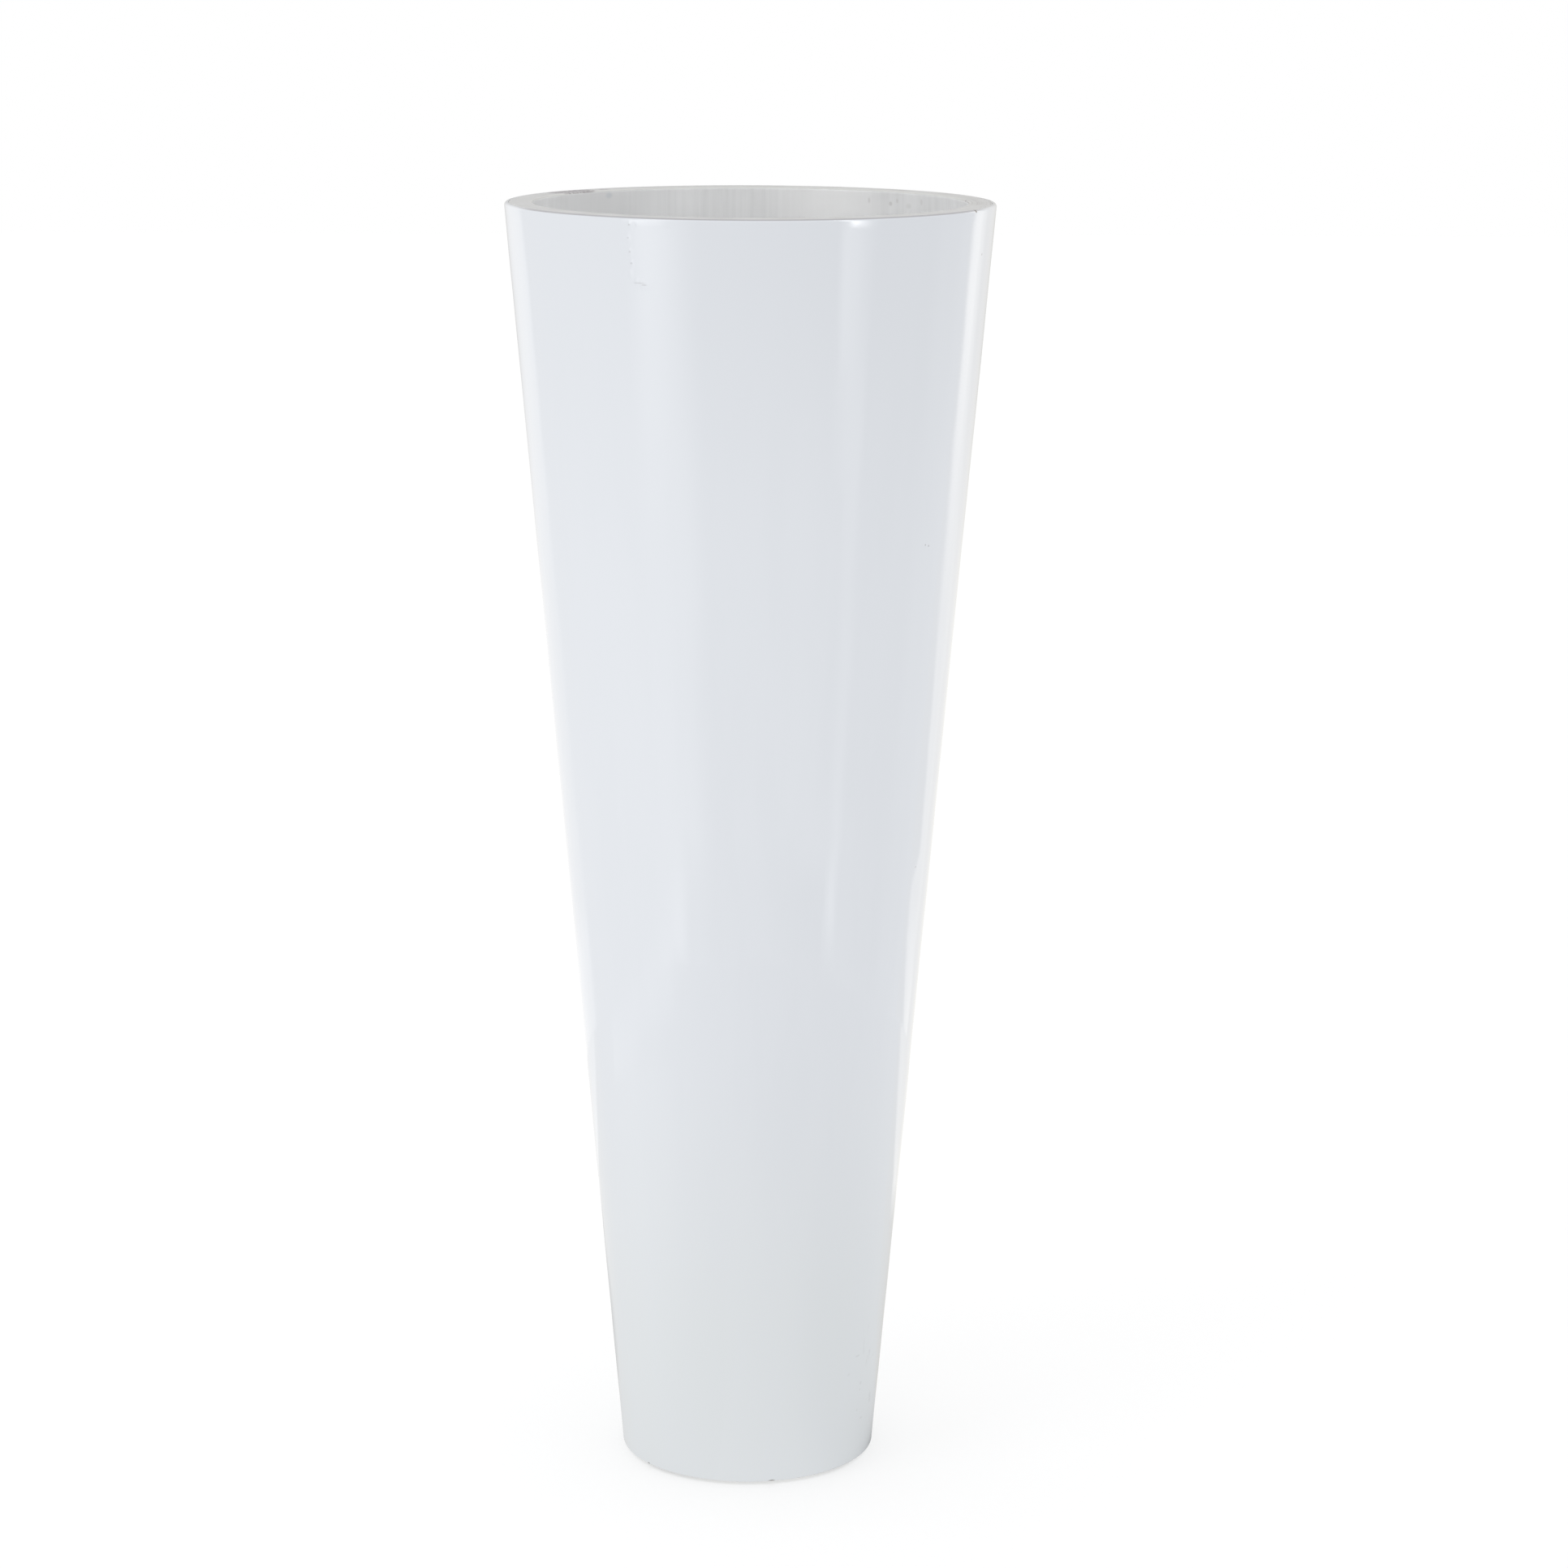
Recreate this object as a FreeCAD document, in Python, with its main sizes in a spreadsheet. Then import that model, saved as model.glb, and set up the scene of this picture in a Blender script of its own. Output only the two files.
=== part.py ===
import FreeCAD, Part
import os

import Sketcher

# A tall tapered fibreglass floor vase, as the pieces it is laid up and bonded from.
# Millimetres, +Z up, origin on the floor at the centre of the foot.

# Driving dimensions: name, millimetres, what it is
SIZES = [
    ("overall_height", 1200.0, "floor to the top of the rim"),
    ("rim_diameter", 450.0, "outside of the shell at the rim, before its edge is eased"),
    ("foot_diameter", 242.0, "outside of the shell at its bottom edge"),
    ("stand_off", 4.0, "gap under the shell's bottom edge"),
    ("wall", 4.0, "shell laminate, measured along the radius"),
    ("bond_line", 0.3, "resin between two bonded pieces"),
    ("rim_edge_radius", 3.0, "rounding of the shell's top edge"),
    ("foot_edge_bevel", 1.5, "bevel of the shell's bottom edge"),
    ("rim_width", 26.0, "flat top of the rim, shell edge included"),
    ("rim_deck", 4.0, "laminate of the rim's flat top"),
    ("rim_web", 3.5, "laminate of the rim's two legs"),
    ("rim_drop", 60.0, "depth of the leg that lines the mouth"),
    ("rim_lap", 45.0, "depth of the leg that is bonded to the shell"),
    ("rim_lip_radius", 2.0, "rounding of the rim's edge at the mouth"),
    ("rim_root_fill", 3.0, "resin fill in the corners of the rim's channel"),
    ("rim_foot_bevel", 1.0, "bevel of the mouth leg's lower edges"),
    ("core_depth", 35.0, "height of the hoop in the rim's channel"),
    ("shelf_depth", 365.0, "rim top down to the shelf's top face"),
    ("shelf_thickness", 12.0, "shelf board"),
    ("shelf_clearance", 2.0, "shelf edge to whatever it has to pass"),
    ("shelf_edge_bevel", 2.0, "bevel of the shelf's edge"),
    ("finger_hole", 32.0, "diameter of a finger hole"),
    ("finger_inset", 30.0, "finger hole's edge to the ledge's inner edge"),
    ("seep_hole", 14.0, "diameter of a seep hole"),
    ("seep_circle", 150.0, "circle that the seep holes lie on"),
    ("ledge_bearing", 14.0, "how far the ledge reaches under the shelf"),
    ("ledge_lip", 6.0, "upright inner face of the ledge"),
    ("ledge_height", 26.0, "ledge, from its top face down to its toe"),
    ("ledge_toe", 1.5, "thickness of the ledge where it runs out"),
    ("pan_recess", 6.0, "pan underside above the shell's bottom edge"),
    ("pan_floor", 6.0, "laminate of the pan's floor"),
    ("pan_web", 3.5, "laminate of the pan's wall"),
    ("pan_lap", 88.0, "height of the pan's wall"),
    ("pan_root_fill", 8.0, "resin fill in the pan's corner"),
    ("pan_corner_bevel", 4.0, "bevel of the pan's lower corner"),
    ("ballast_height", 70.0, "cast ballast in the pan"),
    ("drain_bore", 25.0, "bore of the drain"),
    ("sleeve_wall", 3.5, "wall of the drain sleeve"),
    ("sleeve_collar", 8.0, "how far the sleeve's collar stands out"),
    ("collar_thickness", 3.0, "thickness of that collar"),
    ("plug_clearance", 0.3, "plug to the drain's bore, on the radius"),
    ("plug_nose", 2.5, "bevel at the plug's upper end"),
    ("plug_groove", 1.2, "depth of the grooves between the plug's sealing rings"),
    ("plug_ring", 5.0, "height of a sealing ring and of a groove"),
    ("flange_reach", 5.0, "how far the plug's flange reaches past the sleeve"),
    ("flange_thickness", 3.0, "thickness of that flange"),
    ("grip_diameter", 16.0, "grip under the plug's flange"),
    ("grip_height", 3.0, "height of that grip"),
    ("pad_diameter", 30.0, "foot pad"),
    ("pad_inset", 8.0, "foot pad's edge to the pan's lower corner"),
    ("pad_edge_bevel", 1.5, "bevel of a foot pad's lower edge"),
]

FOOT_PADS = 4
SEEP_HOLES = 6
FINGER_HOLES = 2
FULL_TURN = 360.0
FIRST_PAD_SHARE = 0.5
EASED_WALL_SHARE = 0.75
EASED_GAP_SHARE = 0.4
EDGE_SLACK_SHARE = 1e-4

# Heights and radii of the assembly, as expressions of the sheet's cells
TAPER = "(Sizes.rim_diameter - Sizes.foot_diameter) / (2 * (Sizes.overall_height - Sizes.stand_off))"
RIM_TOP = "Sizes.overall_height"
SHELL_FOOT = "Sizes.stand_off"
MOUTH_RADIUS = "(Sizes.rim_diameter / 2 - Sizes.rim_width)"
DECK_UNDER = "(Sizes.overall_height - Sizes.rim_deck)"
LEDGE_TOP = "(Sizes.overall_height - Sizes.shelf_depth - Sizes.shelf_thickness)"
PAN_FOOT = "(Sizes.stand_off + Sizes.pan_recess)"
BALLAST_FOOT = f"({PAN_FOOT} + Sizes.pan_floor)"
BALLAST_TOP = f"({BALLAST_FOOT} + Sizes.ballast_height)"
DRAIN_RADIUS = "(Sizes.drain_bore / 2)"
SLEEVE_RADIUS = f"({DRAIN_RADIUS} + Sizes.sleeve_wall)"
SLEEVE_HOLE = f"({SLEEVE_RADIUS} + Sizes.bond_line)"


def outer_radius(height):
    """Radius of the shell's outside at a height."""
    return f"(Sizes.foot_diameter / 2 + ({height} - Sizes.stand_off) * {TAPER})"


def inner_radius(height):
    """Radius of the shell's inside at a height."""
    return f"({outer_radius(height)} - Sizes.wall)"


def bonded_radius(height):
    """Outside of a piece that is bonded to the shell's inside."""
    return f"({inner_radius(height)} - Sizes.bond_line)"


def eased(radius, wall, share=EASED_WALL_SHARE):
    """A rounding or bevel that stays inside the wall, or the gap, that carries it."""
    return f"min({radius}; {share} * {wall})"


CHANNEL_INSIDE = f"({MOUTH_RADIUS} + Sizes.rim_web)"
CHANNEL_OUTSIDE = f"({bonded_radius(DECK_UNDER)} - Sizes.rim_web)"
CHANNEL_GAP = f"({CHANNEL_OUTSIDE} - {CHANNEL_INSIDE})"
CHANNEL_ROOT = eased("Sizes.rim_root_fill", CHANNEL_GAP, EASED_GAP_SHARE)
SHELF_RADIUS = f"(min({inner_radius(LEDGE_TOP)}; {MOUTH_RADIUS}) - Sizes.shelf_clearance)"
LEDGE_INSIDE = f"({SHELF_RADIUS} - Sizes.ledge_bearing)"
FINGER_CIRCLE = f"(2 * ({LEDGE_INSIDE} - Sizes.finger_inset) - Sizes.finger_hole)"
PAD_CIRCLE = (
    f"(2 * ({bonded_radius(PAN_FOOT)} - Sizes.pan_corner_bevel - Sizes.pad_inset) - Sizes.pad_diameter)"
)

doc = FreeCAD.newDocument("floor_vase")


def make_sheet():
    """Writes the driving dimensions into a sheet, one named cell each."""
    cells = doc.addObject("Spreadsheet::Sheet", "Sizes")
    for row, (name, value, meaning) in enumerate(SIZES, start=1):
        cells.set(f"A{row}", meaning)
        cells.set(f"B{row}", str(value))
        cells.setAlias(f"B{row}", name)
    doc.recompute()
    return cells


sheet = make_sheet()


def value_of(expression):
    """The number that an expression of the sheet's cells comes to."""
    return float(sheet.evalExpression(expression))


def make_body(label):
    """An empty body with the sub-part's name."""
    body = doc.addObject("PartDesign::Body", label)
    body.Label = label
    return body


def add_sketch(body, name, role):
    """A sketch on one of the body's own origin planes."""
    sketch = body.newObject("Sketcher::SketchObject", f"{body.Label}_{name}")
    plane = next(plane for plane in body.Origin.OriginFeatures if plane.Role == role)
    sketch.AttachmentSupport = (plane, [""])
    sketch.MapMode = "FlatFace"
    return sketch


def drive(sketch, constraint, expression):
    """Adds a constraint and binds its value to the sheet."""
    index = sketch.addConstraint(constraint)
    sketch.setExpression(f"Constraints[{index}]", expression)


def add_half_section(body, corners):
    """A closed outline through (radius, height) corners, on the XZ plane."""
    sketch = add_sketch(body, "section", "XZ_Plane")
    points = [FreeCAD.Vector(value_of(radius), value_of(height), 0) for radius, height in corners]
    count = len(corners)
    for i in range(count):
        sketch.addGeometry(Part.LineSegment(points[i], points[(i + 1) % count]), False)
    for i in range(count):
        sketch.addConstraint(Sketcher.Constraint("Coincident", i, 2, (i + 1) % count, 1))
    for i, (radius, height) in enumerate(corners):
        if radius == "0":
            sketch.addConstraint(Sketcher.Constraint("PointOnObject", i, 1, -2))
        else:
            drive(sketch, Sketcher.Constraint("DistanceX", -1, 1, i, 1, points[i].x), radius)
        if height == "0":
            sketch.addConstraint(Sketcher.Constraint("PointOnObject", i, 1, -1))
        else:
            drive(sketch, Sketcher.Constraint("DistanceY", -1, 1, i, 1, points[i].y), height)
    doc.recompute()
    return sketch


def turn(body, corners):
    """Turns a half section all the way round the vase's axis."""
    section = add_half_section(body, corners)
    turned = body.newObject("PartDesign::Revolution", f"{body.Label}_turned")
    turned.Profile = section
    turned.ReferenceAxis = (section, ["V_Axis"])
    turned.Angle = FULL_TURN
    section.Visibility = False
    doc.recompute()
    return turned


def add_circle(body, name, diameter, circle):
    """A circle on the XY plane, its centre on the X axis and on a larger circle."""
    sketch = add_sketch(body, name, "XY_Plane")
    centre = FreeCAD.Vector(value_of(circle) / 2, 0, 0)
    outline = Part.Circle(centre, FreeCAD.Vector(0, 0, 1), value_of(diameter) / 2)
    sketch.addGeometry(outline, False)
    sketch.addConstraint(Sketcher.Constraint("PointOnObject", 0, 3, -1))
    drive(sketch, Sketcher.Constraint("DistanceX", -1, 1, 0, 3, centre.x), f"{circle} / 2")
    drive(sketch, Sketcher.Constraint("Diameter", 0, value_of(diameter)), diameter)
    sketch.Visibility = False
    doc.recompute()
    return sketch


def ring_edges(feature, rings):
    """Names of a feature's round edges at the given (radius, height) places."""
    slack = EDGE_SLACK_SHARE * value_of("Sizes.overall_height")
    found = []
    for ring_radius, ring_height in rings:
        radius = value_of(ring_radius)
        height = value_of(ring_height)
        names = [
            f"Edge{i}"
            for i, edge in enumerate(feature.Shape.Edges, start=1)
            if isinstance(edge.Curve, Part.Circle)
            and abs(edge.Curve.Radius - radius) < slack
            and abs(edge.Curve.Center.z - height) < slack
        ]
        if not names:
            raise ValueError(f"{feature.Label}: no edge of radius {radius:.3f} at height {height:.3f}")
        found += names
    return found


def round_off(body, feature, name, rings, radius):
    """Fillets round edges of a piece."""
    fillet = body.newObject("PartDesign::Fillet", f"{body.Label}_{name}")
    fillet.Base = (feature, ring_edges(feature, rings))
    fillet.setExpression("Radius", radius)
    doc.recompute()
    return fillet


def bevel(body, feature, name, rings, size):
    """Chamfers round edges of a piece."""
    chamfer = body.newObject("PartDesign::Chamfer", f"{body.Label}_{name}")
    chamfer.Base = (feature, ring_edges(feature, rings))
    chamfer.setExpression("Size", size)
    doc.recompute()
    return chamfer


def drill_ring(body, name, diameter, circle, count):
    """Drills holes right through a board, evenly spaced on a circle."""
    sketch = add_circle(body, f"{name}_outline", diameter, circle)
    before = body.Shape.Volume
    pocket = body.newObject("PartDesign::Pocket", f"{body.Label}_{name}")
    pocket.Profile = sketch
    pocket.Type = "ThroughAll"
    pocket.Midplane = True
    doc.recompute()
    one_hole = before - body.Shape.Volume
    pattern = body.newObject("PartDesign::PolarPattern", f"{body.Label}_{name}_ring")
    pattern.Originals = [pocket]
    pattern.Axis = (sketch, ["N_Axis"])
    pattern.Angle = FULL_TURN
    pattern.Occurrences = count
    body.Tip = pattern
    doc.recompute()
    if one_hole <= 0 or before - body.Shape.Volume < (count - 1) * one_hole:
        raise ValueError(f"{body.Label}: {name} aren't all cut")
    return pattern


def make_outer_shell():
    """The tapered skin, open at both ends, with its rim edge and foot edge eased."""
    body = make_body("outer_shell")
    rim_edge = (outer_radius(RIM_TOP), RIM_TOP)
    foot_edge = (outer_radius(SHELL_FOOT), SHELL_FOOT)
    turned = turn(
        body,
        [
            foot_edge,
            rim_edge,
            (inner_radius(RIM_TOP), RIM_TOP),
            (inner_radius(SHELL_FOOT), SHELL_FOOT),
        ],
    )
    rim = round_off(body, turned, "rim_edge", [rim_edge], eased("Sizes.rim_edge_radius", "Sizes.wall"))
    bevel(body, rim, "foot_edge", [foot_edge], eased("Sizes.foot_edge_bevel", "Sizes.wall"))
    return body


def make_rim_ring():
    """The rim moulding: a channel, open below, whose outer leg laps the shell's inside."""
    body = make_body("rim_ring")
    drop_foot = "(Sizes.overall_height - Sizes.rim_drop)"
    lap_foot = "(Sizes.overall_height - Sizes.rim_lap)"
    lip = (MOUTH_RADIUS, RIM_TOP)
    roots = [(CHANNEL_INSIDE, DECK_UNDER), (CHANNEL_OUTSIDE, DECK_UNDER)]
    drop_edges = [(MOUTH_RADIUS, drop_foot), (CHANNEL_INSIDE, drop_foot)]
    turned = turn(
        body,
        [
            (bonded_radius(RIM_TOP), RIM_TOP),
            lip,
            *drop_edges,
            *roots,
            (f"({bonded_radius(lap_foot)} - Sizes.rim_web)", lap_foot),
            (bonded_radius(lap_foot), lap_foot),
        ],
    )
    lipped = round_off(body, turned, "lip", [lip], eased("Sizes.rim_lip_radius", "Sizes.rim_web"))
    rooted = bevel(body, lipped, "root", roots, CHANNEL_ROOT)
    drop_bevel = eased("Sizes.rim_foot_bevel", "Sizes.rim_web", EASED_GAP_SHARE)
    bevel(body, rooted, "drop_foot", drop_edges, drop_bevel)
    return body


def make_rim_core_hoop():
    """The hoop that fills the rim's channel and keeps the mouth round."""
    body = make_body("rim_core_hoop")
    top = f"({DECK_UNDER} - Sizes.bond_line)"
    foot = f"({top} - Sizes.core_depth)"
    inside = f"({CHANNEL_INSIDE} + Sizes.bond_line)"

    def outside(height):
        return f"({bonded_radius(height)} - Sizes.rim_web - Sizes.bond_line)"

    top_edges = [(outside(top), top), (inside, top)]
    turned = turn(body, [(outside(foot), foot), *top_edges, (inside, foot)])
    bevel(body, turned, "top_bevel", top_edges, CHANNEL_ROOT)
    return body


def make_shelf_ledge():
    """The bracket ring inside the shell, whose sloping underside runs out to a toe."""
    body = make_body("shelf_ledge")
    toe = f"({LEDGE_TOP} - Sizes.ledge_height)"
    turn(
        body,
        [
            (bonded_radius(toe), toe),
            (bonded_radius(LEDGE_TOP), LEDGE_TOP),
            (LEDGE_INSIDE, LEDGE_TOP),
            (LEDGE_INSIDE, f"({LEDGE_TOP} - Sizes.ledge_lip)"),
            (f"({bonded_radius(toe)} - Sizes.ledge_toe)", toe),
        ],
    )
    return body


def make_planting_shelf():
    """The loose board that carries the plant, with seep holes and two finger holes."""
    body = make_body("planting_shelf")
    body.setExpression("Placement.Base.z", LEDGE_TOP)
    edges = [(SHELF_RADIUS, "0"), (SHELF_RADIUS, "Sizes.shelf_thickness")]
    turned = turn(body, [("0", "0"), *edges, ("0", "Sizes.shelf_thickness")])
    edge_bevel = eased("Sizes.shelf_edge_bevel", "Sizes.shelf_thickness", EASED_GAP_SHARE)
    bevel(body, turned, "edge", edges, edge_bevel)
    drill_ring(body, "seep_holes", "Sizes.seep_hole", "Sizes.seep_circle", SEEP_HOLES)
    drill_ring(body, "finger_holes", "Sizes.finger_hole", FINGER_CIRCLE, FINGER_HOLES)
    return body


def make_base_pan():
    """The moulded floor: a shallow pan whose wall laps the shell's inside."""
    body = make_body("base_pan")
    lap_top = f"({PAN_FOOT} + Sizes.pan_lap)"
    root = (f"({bonded_radius(BALLAST_FOOT)} - Sizes.pan_web)", BALLAST_FOOT)
    corner = (bonded_radius(PAN_FOOT), PAN_FOOT)
    turned = turn(
        body,
        [
            (SLEEVE_HOLE, PAN_FOOT),
            corner,
            (bonded_radius(lap_top), lap_top),
            (f"({bonded_radius(lap_top)} - Sizes.pan_web)", lap_top),
            root,
            (SLEEVE_HOLE, BALLAST_FOOT),
        ],
    )
    rooted = bevel(body, turned, "root", [root], "Sizes.pan_root_fill")
    bevel(body, rooted, "corner", [corner], eased("Sizes.pan_corner_bevel", "Sizes.pan_floor"))
    return body


def make_ballast_disc():
    """The weight cast into the pan round the drain sleeve."""
    body = make_body("ballast_disc")

    def outside(height):
        return f"({bonded_radius(height)} - Sizes.pan_web - Sizes.bond_line)"

    foot_edge = (outside(BALLAST_FOOT), BALLAST_FOOT)
    turned = turn(
        body,
        [
            (SLEEVE_HOLE, BALLAST_FOOT),
            foot_edge,
            (outside(BALLAST_TOP), BALLAST_TOP),
            (SLEEVE_HOLE, BALLAST_TOP),
        ],
    )
    bevel(body, turned, "foot_bevel", [foot_edge], "Sizes.pan_root_fill")
    return body


def make_drain_sleeve():
    """The tube that keeps the drain open through the ballast, hung from a collar."""
    body = make_body("drain_sleeve")
    collar = f"({SLEEVE_RADIUS} + Sizes.sleeve_collar)"
    collar_top = f"({BALLAST_TOP} + Sizes.collar_thickness)"
    turn(
        body,
        [
            (DRAIN_RADIUS, PAN_FOOT),
            (SLEEVE_RADIUS, PAN_FOOT),
            (SLEEVE_RADIUS, BALLAST_TOP),
            (collar, BALLAST_TOP),
            (collar, collar_top),
            (DRAIN_RADIUS, collar_top),
        ],
    )
    return body


def make_drain_plug():
    """The rubber plug pushed up the drain from below, with sealing rings and a grip."""
    body = make_body("drain_plug")
    stem = f"({DRAIN_RADIUS} - Sizes.plug_clearance)"
    neck = f"({stem} - Sizes.plug_groove)"
    flange = f"({SLEEVE_RADIUS} + Sizes.flange_reach)"
    grip = "(Sizes.grip_diameter / 2)"
    flange_foot = f"({PAN_FOOT} - Sizes.flange_thickness)"
    grip_foot = f"({flange_foot} - Sizes.grip_height)"

    def ring(count):
        return f"({PAN_FOOT} + {count} * Sizes.plug_ring)"

    nose = (stem, ring(6))
    turned = turn(
        body,
        [
            ("0", grip_foot),
            (grip, grip_foot),
            (grip, flange_foot),
            (flange, flange_foot),
            (flange, PAN_FOOT),
            (stem, PAN_FOOT),
            (stem, ring(1)),
            (neck, ring(1)),
            (neck, ring(2)),
            (stem, ring(2)),
            (stem, ring(3)),
            (neck, ring(3)),
            (neck, ring(4)),
            (stem, ring(4)),
            nose,
            ("0", ring(6)),
        ],
    )
    bevel(body, turned, "nose", [nose], "Sizes.plug_nose")
    return body


def make_foot_pad(number):
    """One rubber pad, stuck under the pan."""
    body = make_body(f"foot_pad_{number}")
    block = body.newObject("PartDesign::Pad", f"{body.Label}_block")
    block.Profile = add_circle(body, "outline", "Sizes.pad_diameter", PAD_CIRCLE)
    block.setExpression("Length", PAN_FOOT)
    doc.recompute()
    foot_edge = ("Sizes.pad_diameter / 2", "0")
    bevel(body, block, "edge", [foot_edge], eased("Sizes.pad_edge_bevel", PAN_FOOT))
    angle = FULL_TURN / FOOT_PADS * (number - FIRST_PAD_SHARE)
    upright = FreeCAD.Vector(0, 0, 1)
    body.Placement = FreeCAD.Placement(FreeCAD.Vector(0, 0, 0), FreeCAD.Rotation(upright, angle))
    return body


def check(bodies):
    """Stops the build if an object failed or a sub-part isn't one sound solid."""
    doc.recompute()
    for item in doc.Objects:
        if "Invalid" in item.State or "Error" in item.State:
            raise ValueError(f"{item.Label} failed: {item.State}")
    for body in bodies:
        shape = body.Shape
        if shape.isNull() or not shape.isValid() or len(shape.Solids) != 1:
            raise ValueError(f"{body.Label} isn't one valid solid")


def main():
    """Builds every sub-part and writes each to its own file."""
    bodies = [
        make_outer_shell(),
        make_rim_ring(),
        make_rim_core_hoop(),
        make_shelf_ledge(),
        make_planting_shelf(),
        make_base_pan(),
        make_ballast_disc(),
        make_drain_sleeve(),
        make_drain_plug(),
    ]
    bodies += [make_foot_pad(number) for number in range(1, FOOT_PADS + 1)]
    check(bodies)
    os.makedirs("parts", exist_ok=True)
    for body in bodies:
        body.Shape.exportStep(f"parts/{body.Label}.step")
        box = body.Shape.BoundBox
        print(f"{body.Label}: {body.Shape.Volume:.0f} mm3, z {box.ZMin:.2f} to {box.ZMax:.2f}")


main()
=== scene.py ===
import logging
import math
from dataclasses import dataclass, field, replace
from enum import Enum
from functools import partial, reduce
from itertools import pairwise
from typing import Callable, Sequence

import bmesh
import bpy
from bmesh.types import BMEdge, BMFace
from bpy.types import Material, Node, NodeSocket, Object, World
from mathutils import Matrix, Vector


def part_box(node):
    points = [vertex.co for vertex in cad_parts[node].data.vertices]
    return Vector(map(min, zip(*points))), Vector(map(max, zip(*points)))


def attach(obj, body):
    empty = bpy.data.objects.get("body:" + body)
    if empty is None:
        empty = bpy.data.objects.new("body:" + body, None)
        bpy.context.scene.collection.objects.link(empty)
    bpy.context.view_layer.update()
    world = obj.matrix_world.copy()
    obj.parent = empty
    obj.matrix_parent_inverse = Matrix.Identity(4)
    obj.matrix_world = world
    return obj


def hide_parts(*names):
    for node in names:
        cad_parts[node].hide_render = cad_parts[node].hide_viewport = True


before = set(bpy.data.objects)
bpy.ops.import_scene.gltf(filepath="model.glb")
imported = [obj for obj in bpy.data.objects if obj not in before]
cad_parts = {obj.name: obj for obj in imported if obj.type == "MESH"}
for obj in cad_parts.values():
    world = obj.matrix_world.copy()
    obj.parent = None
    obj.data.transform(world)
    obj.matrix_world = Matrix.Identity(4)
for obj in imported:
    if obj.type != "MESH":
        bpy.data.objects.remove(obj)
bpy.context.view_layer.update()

LOG = logging.getLogger("floor_vase")
NEAR = 2e-5
SMOOTH_ANGLE = math.radians(35)
EASE_SEGMENTS = 4
NOISE_RANGE = (0.3, 0.7)
RESIN_IOR = 1.5
MIX_FIRST = 6
MIX_SECOND = 7
MIX_RESULT = 2
FLAT = (1.0, 1.0, 0.0)
SEEING_RAYS = ("Is Camera Ray", "Is Glossy Ray", "Is Transmission Ray")

Triple = tuple[float, float, float]
Colour = Triple
Value = float | NodeSocket
Tone = Colour | NodeSocket
Inputs = dict[str | int, Value | Tone]
Chooser = Callable[[Vector, Vector], int]
Range = tuple[float, ...]
Glows = tuple[float, ...]


class Body(Enum):
    """The bodies that carry the pieces."""

    VASE = "vase"
    SHELF = "shelf"
    PLUG = "plug"


class Slot(Enum):
    """The record's material slots."""

    GELCOAT = "gelcoat"
    LAMINATE = "raw_laminate"
    BOARD = "shelf_board"
    CONCRETE = "ballast_concrete"
    TUBE = "sleeve_plastic"
    RUBBER = "black_rubber"


class Part(Enum):
    """The parts of a mesh that are picked."""

    EDGES = "EDGE"
    FACES = "FACE"


@dataclass(frozen=True)
class Cone:
    """The straight cone of the vase's outside, between its foot and its rim, in metres."""

    foot_radius: float = 0.121
    rim_radius: float = 0.225
    foot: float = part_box("outer_shell")[0][2]
    rim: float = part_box("outer_shell")[1][2]
    wall: float = 0.004
    bond: float = 0.0003

    def outside(self, height: float) -> float:
        """The shell's outer radius at a height."""
        share = (height - self.foot) / (self.rim - self.foot)
        return self.foot_radius + share * (self.rim_radius - self.foot_radius)

    def inside(self, height: float) -> float:
        """The shell's inner radius at a height."""
        return self.outside(height) - self.wall

    def bonded(self, height: float) -> float:
        """The outer radius of a piece that is bonded inside the shell at a height."""
        return self.inside(height) - self.bond


CONE = Cone()


def on_ring(azimuth: float, radius: float, height: float) -> Vector:
    """A point at an azimuth in degrees, counted from the front towards the right."""
    turn = math.radians(azimuth)
    return Vector((radius * math.sin(turn), -radius * math.cos(turn), height))


def azimuth_of(point: Vector) -> float:
    """The azimuth of a point in degrees, from the front towards the right."""
    return math.degrees(math.atan2(point.x, -point.y))


def heights(node: str) -> tuple[float, float]:
    """The heights of a CAD node's foot and top."""
    low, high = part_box(node)
    return low[2], high[2]


def share_of(value: float) -> float:
    """A value, kept between 0 and 1."""
    return max(0.0, min(1.0, value))


# Modelling with operators


@dataclass(frozen=True)
class Corner:
    """One corner of a turned piece's half section.

    ease is the corner's rounding, and rows the rows of faces on the wall that runs on from it.
    """

    radius: float
    height: float
    ease: float = 0.0
    rows: int = 1


@dataclass(frozen=True)
class Rung:
    """One ring of a card: its place, its glow at even steps along it, and its turn in degrees."""

    radius: float
    height: float
    glow: Glows
    turn: float = 0.0

    def reach(self) -> float:
        """How far up or out the ring is, so that a card's rings can be put in order."""
        return self.radius + self.height


def deselect_all() -> None:
    """Leaves nothing selected, in object mode."""
    if bpy.context.object and bpy.context.object.mode != "OBJECT":
        bpy.ops.object.mode_set(mode="OBJECT")
    bpy.ops.object.select_all(action="DESELECT")


def activate(piece: Object) -> None:
    """Makes a piece the active one, and the only one selected.

    Args:
        piece: The piece.
    """
    deselect_all()
    piece.select_set(True)
    bpy.context.view_layer.objects.active = piece


def pick(piece: Object, kind: Part, wanted: Callable[[BMEdge | BMFace], bool]) -> None:
    """Selects, in edit mode, the edges or faces that pass a test.

    Args:
        piece: The object in edit mode.
        kind: Edges or faces.
        wanted: Says of an edge or a face whether it is selected.
    """
    bpy.ops.mesh.select_mode(type=kind.value)
    bpy.ops.mesh.select_all(action="DESELECT")
    mesh = bmesh.from_edit_mesh(piece.data)
    for part in mesh.edges if kind is Part.EDGES else mesh.faces:
        if wanted(part):
            part.select_set(True)
    mesh.select_flush_mode()
    bmesh.update_edit_mesh(piece.data)


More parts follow.
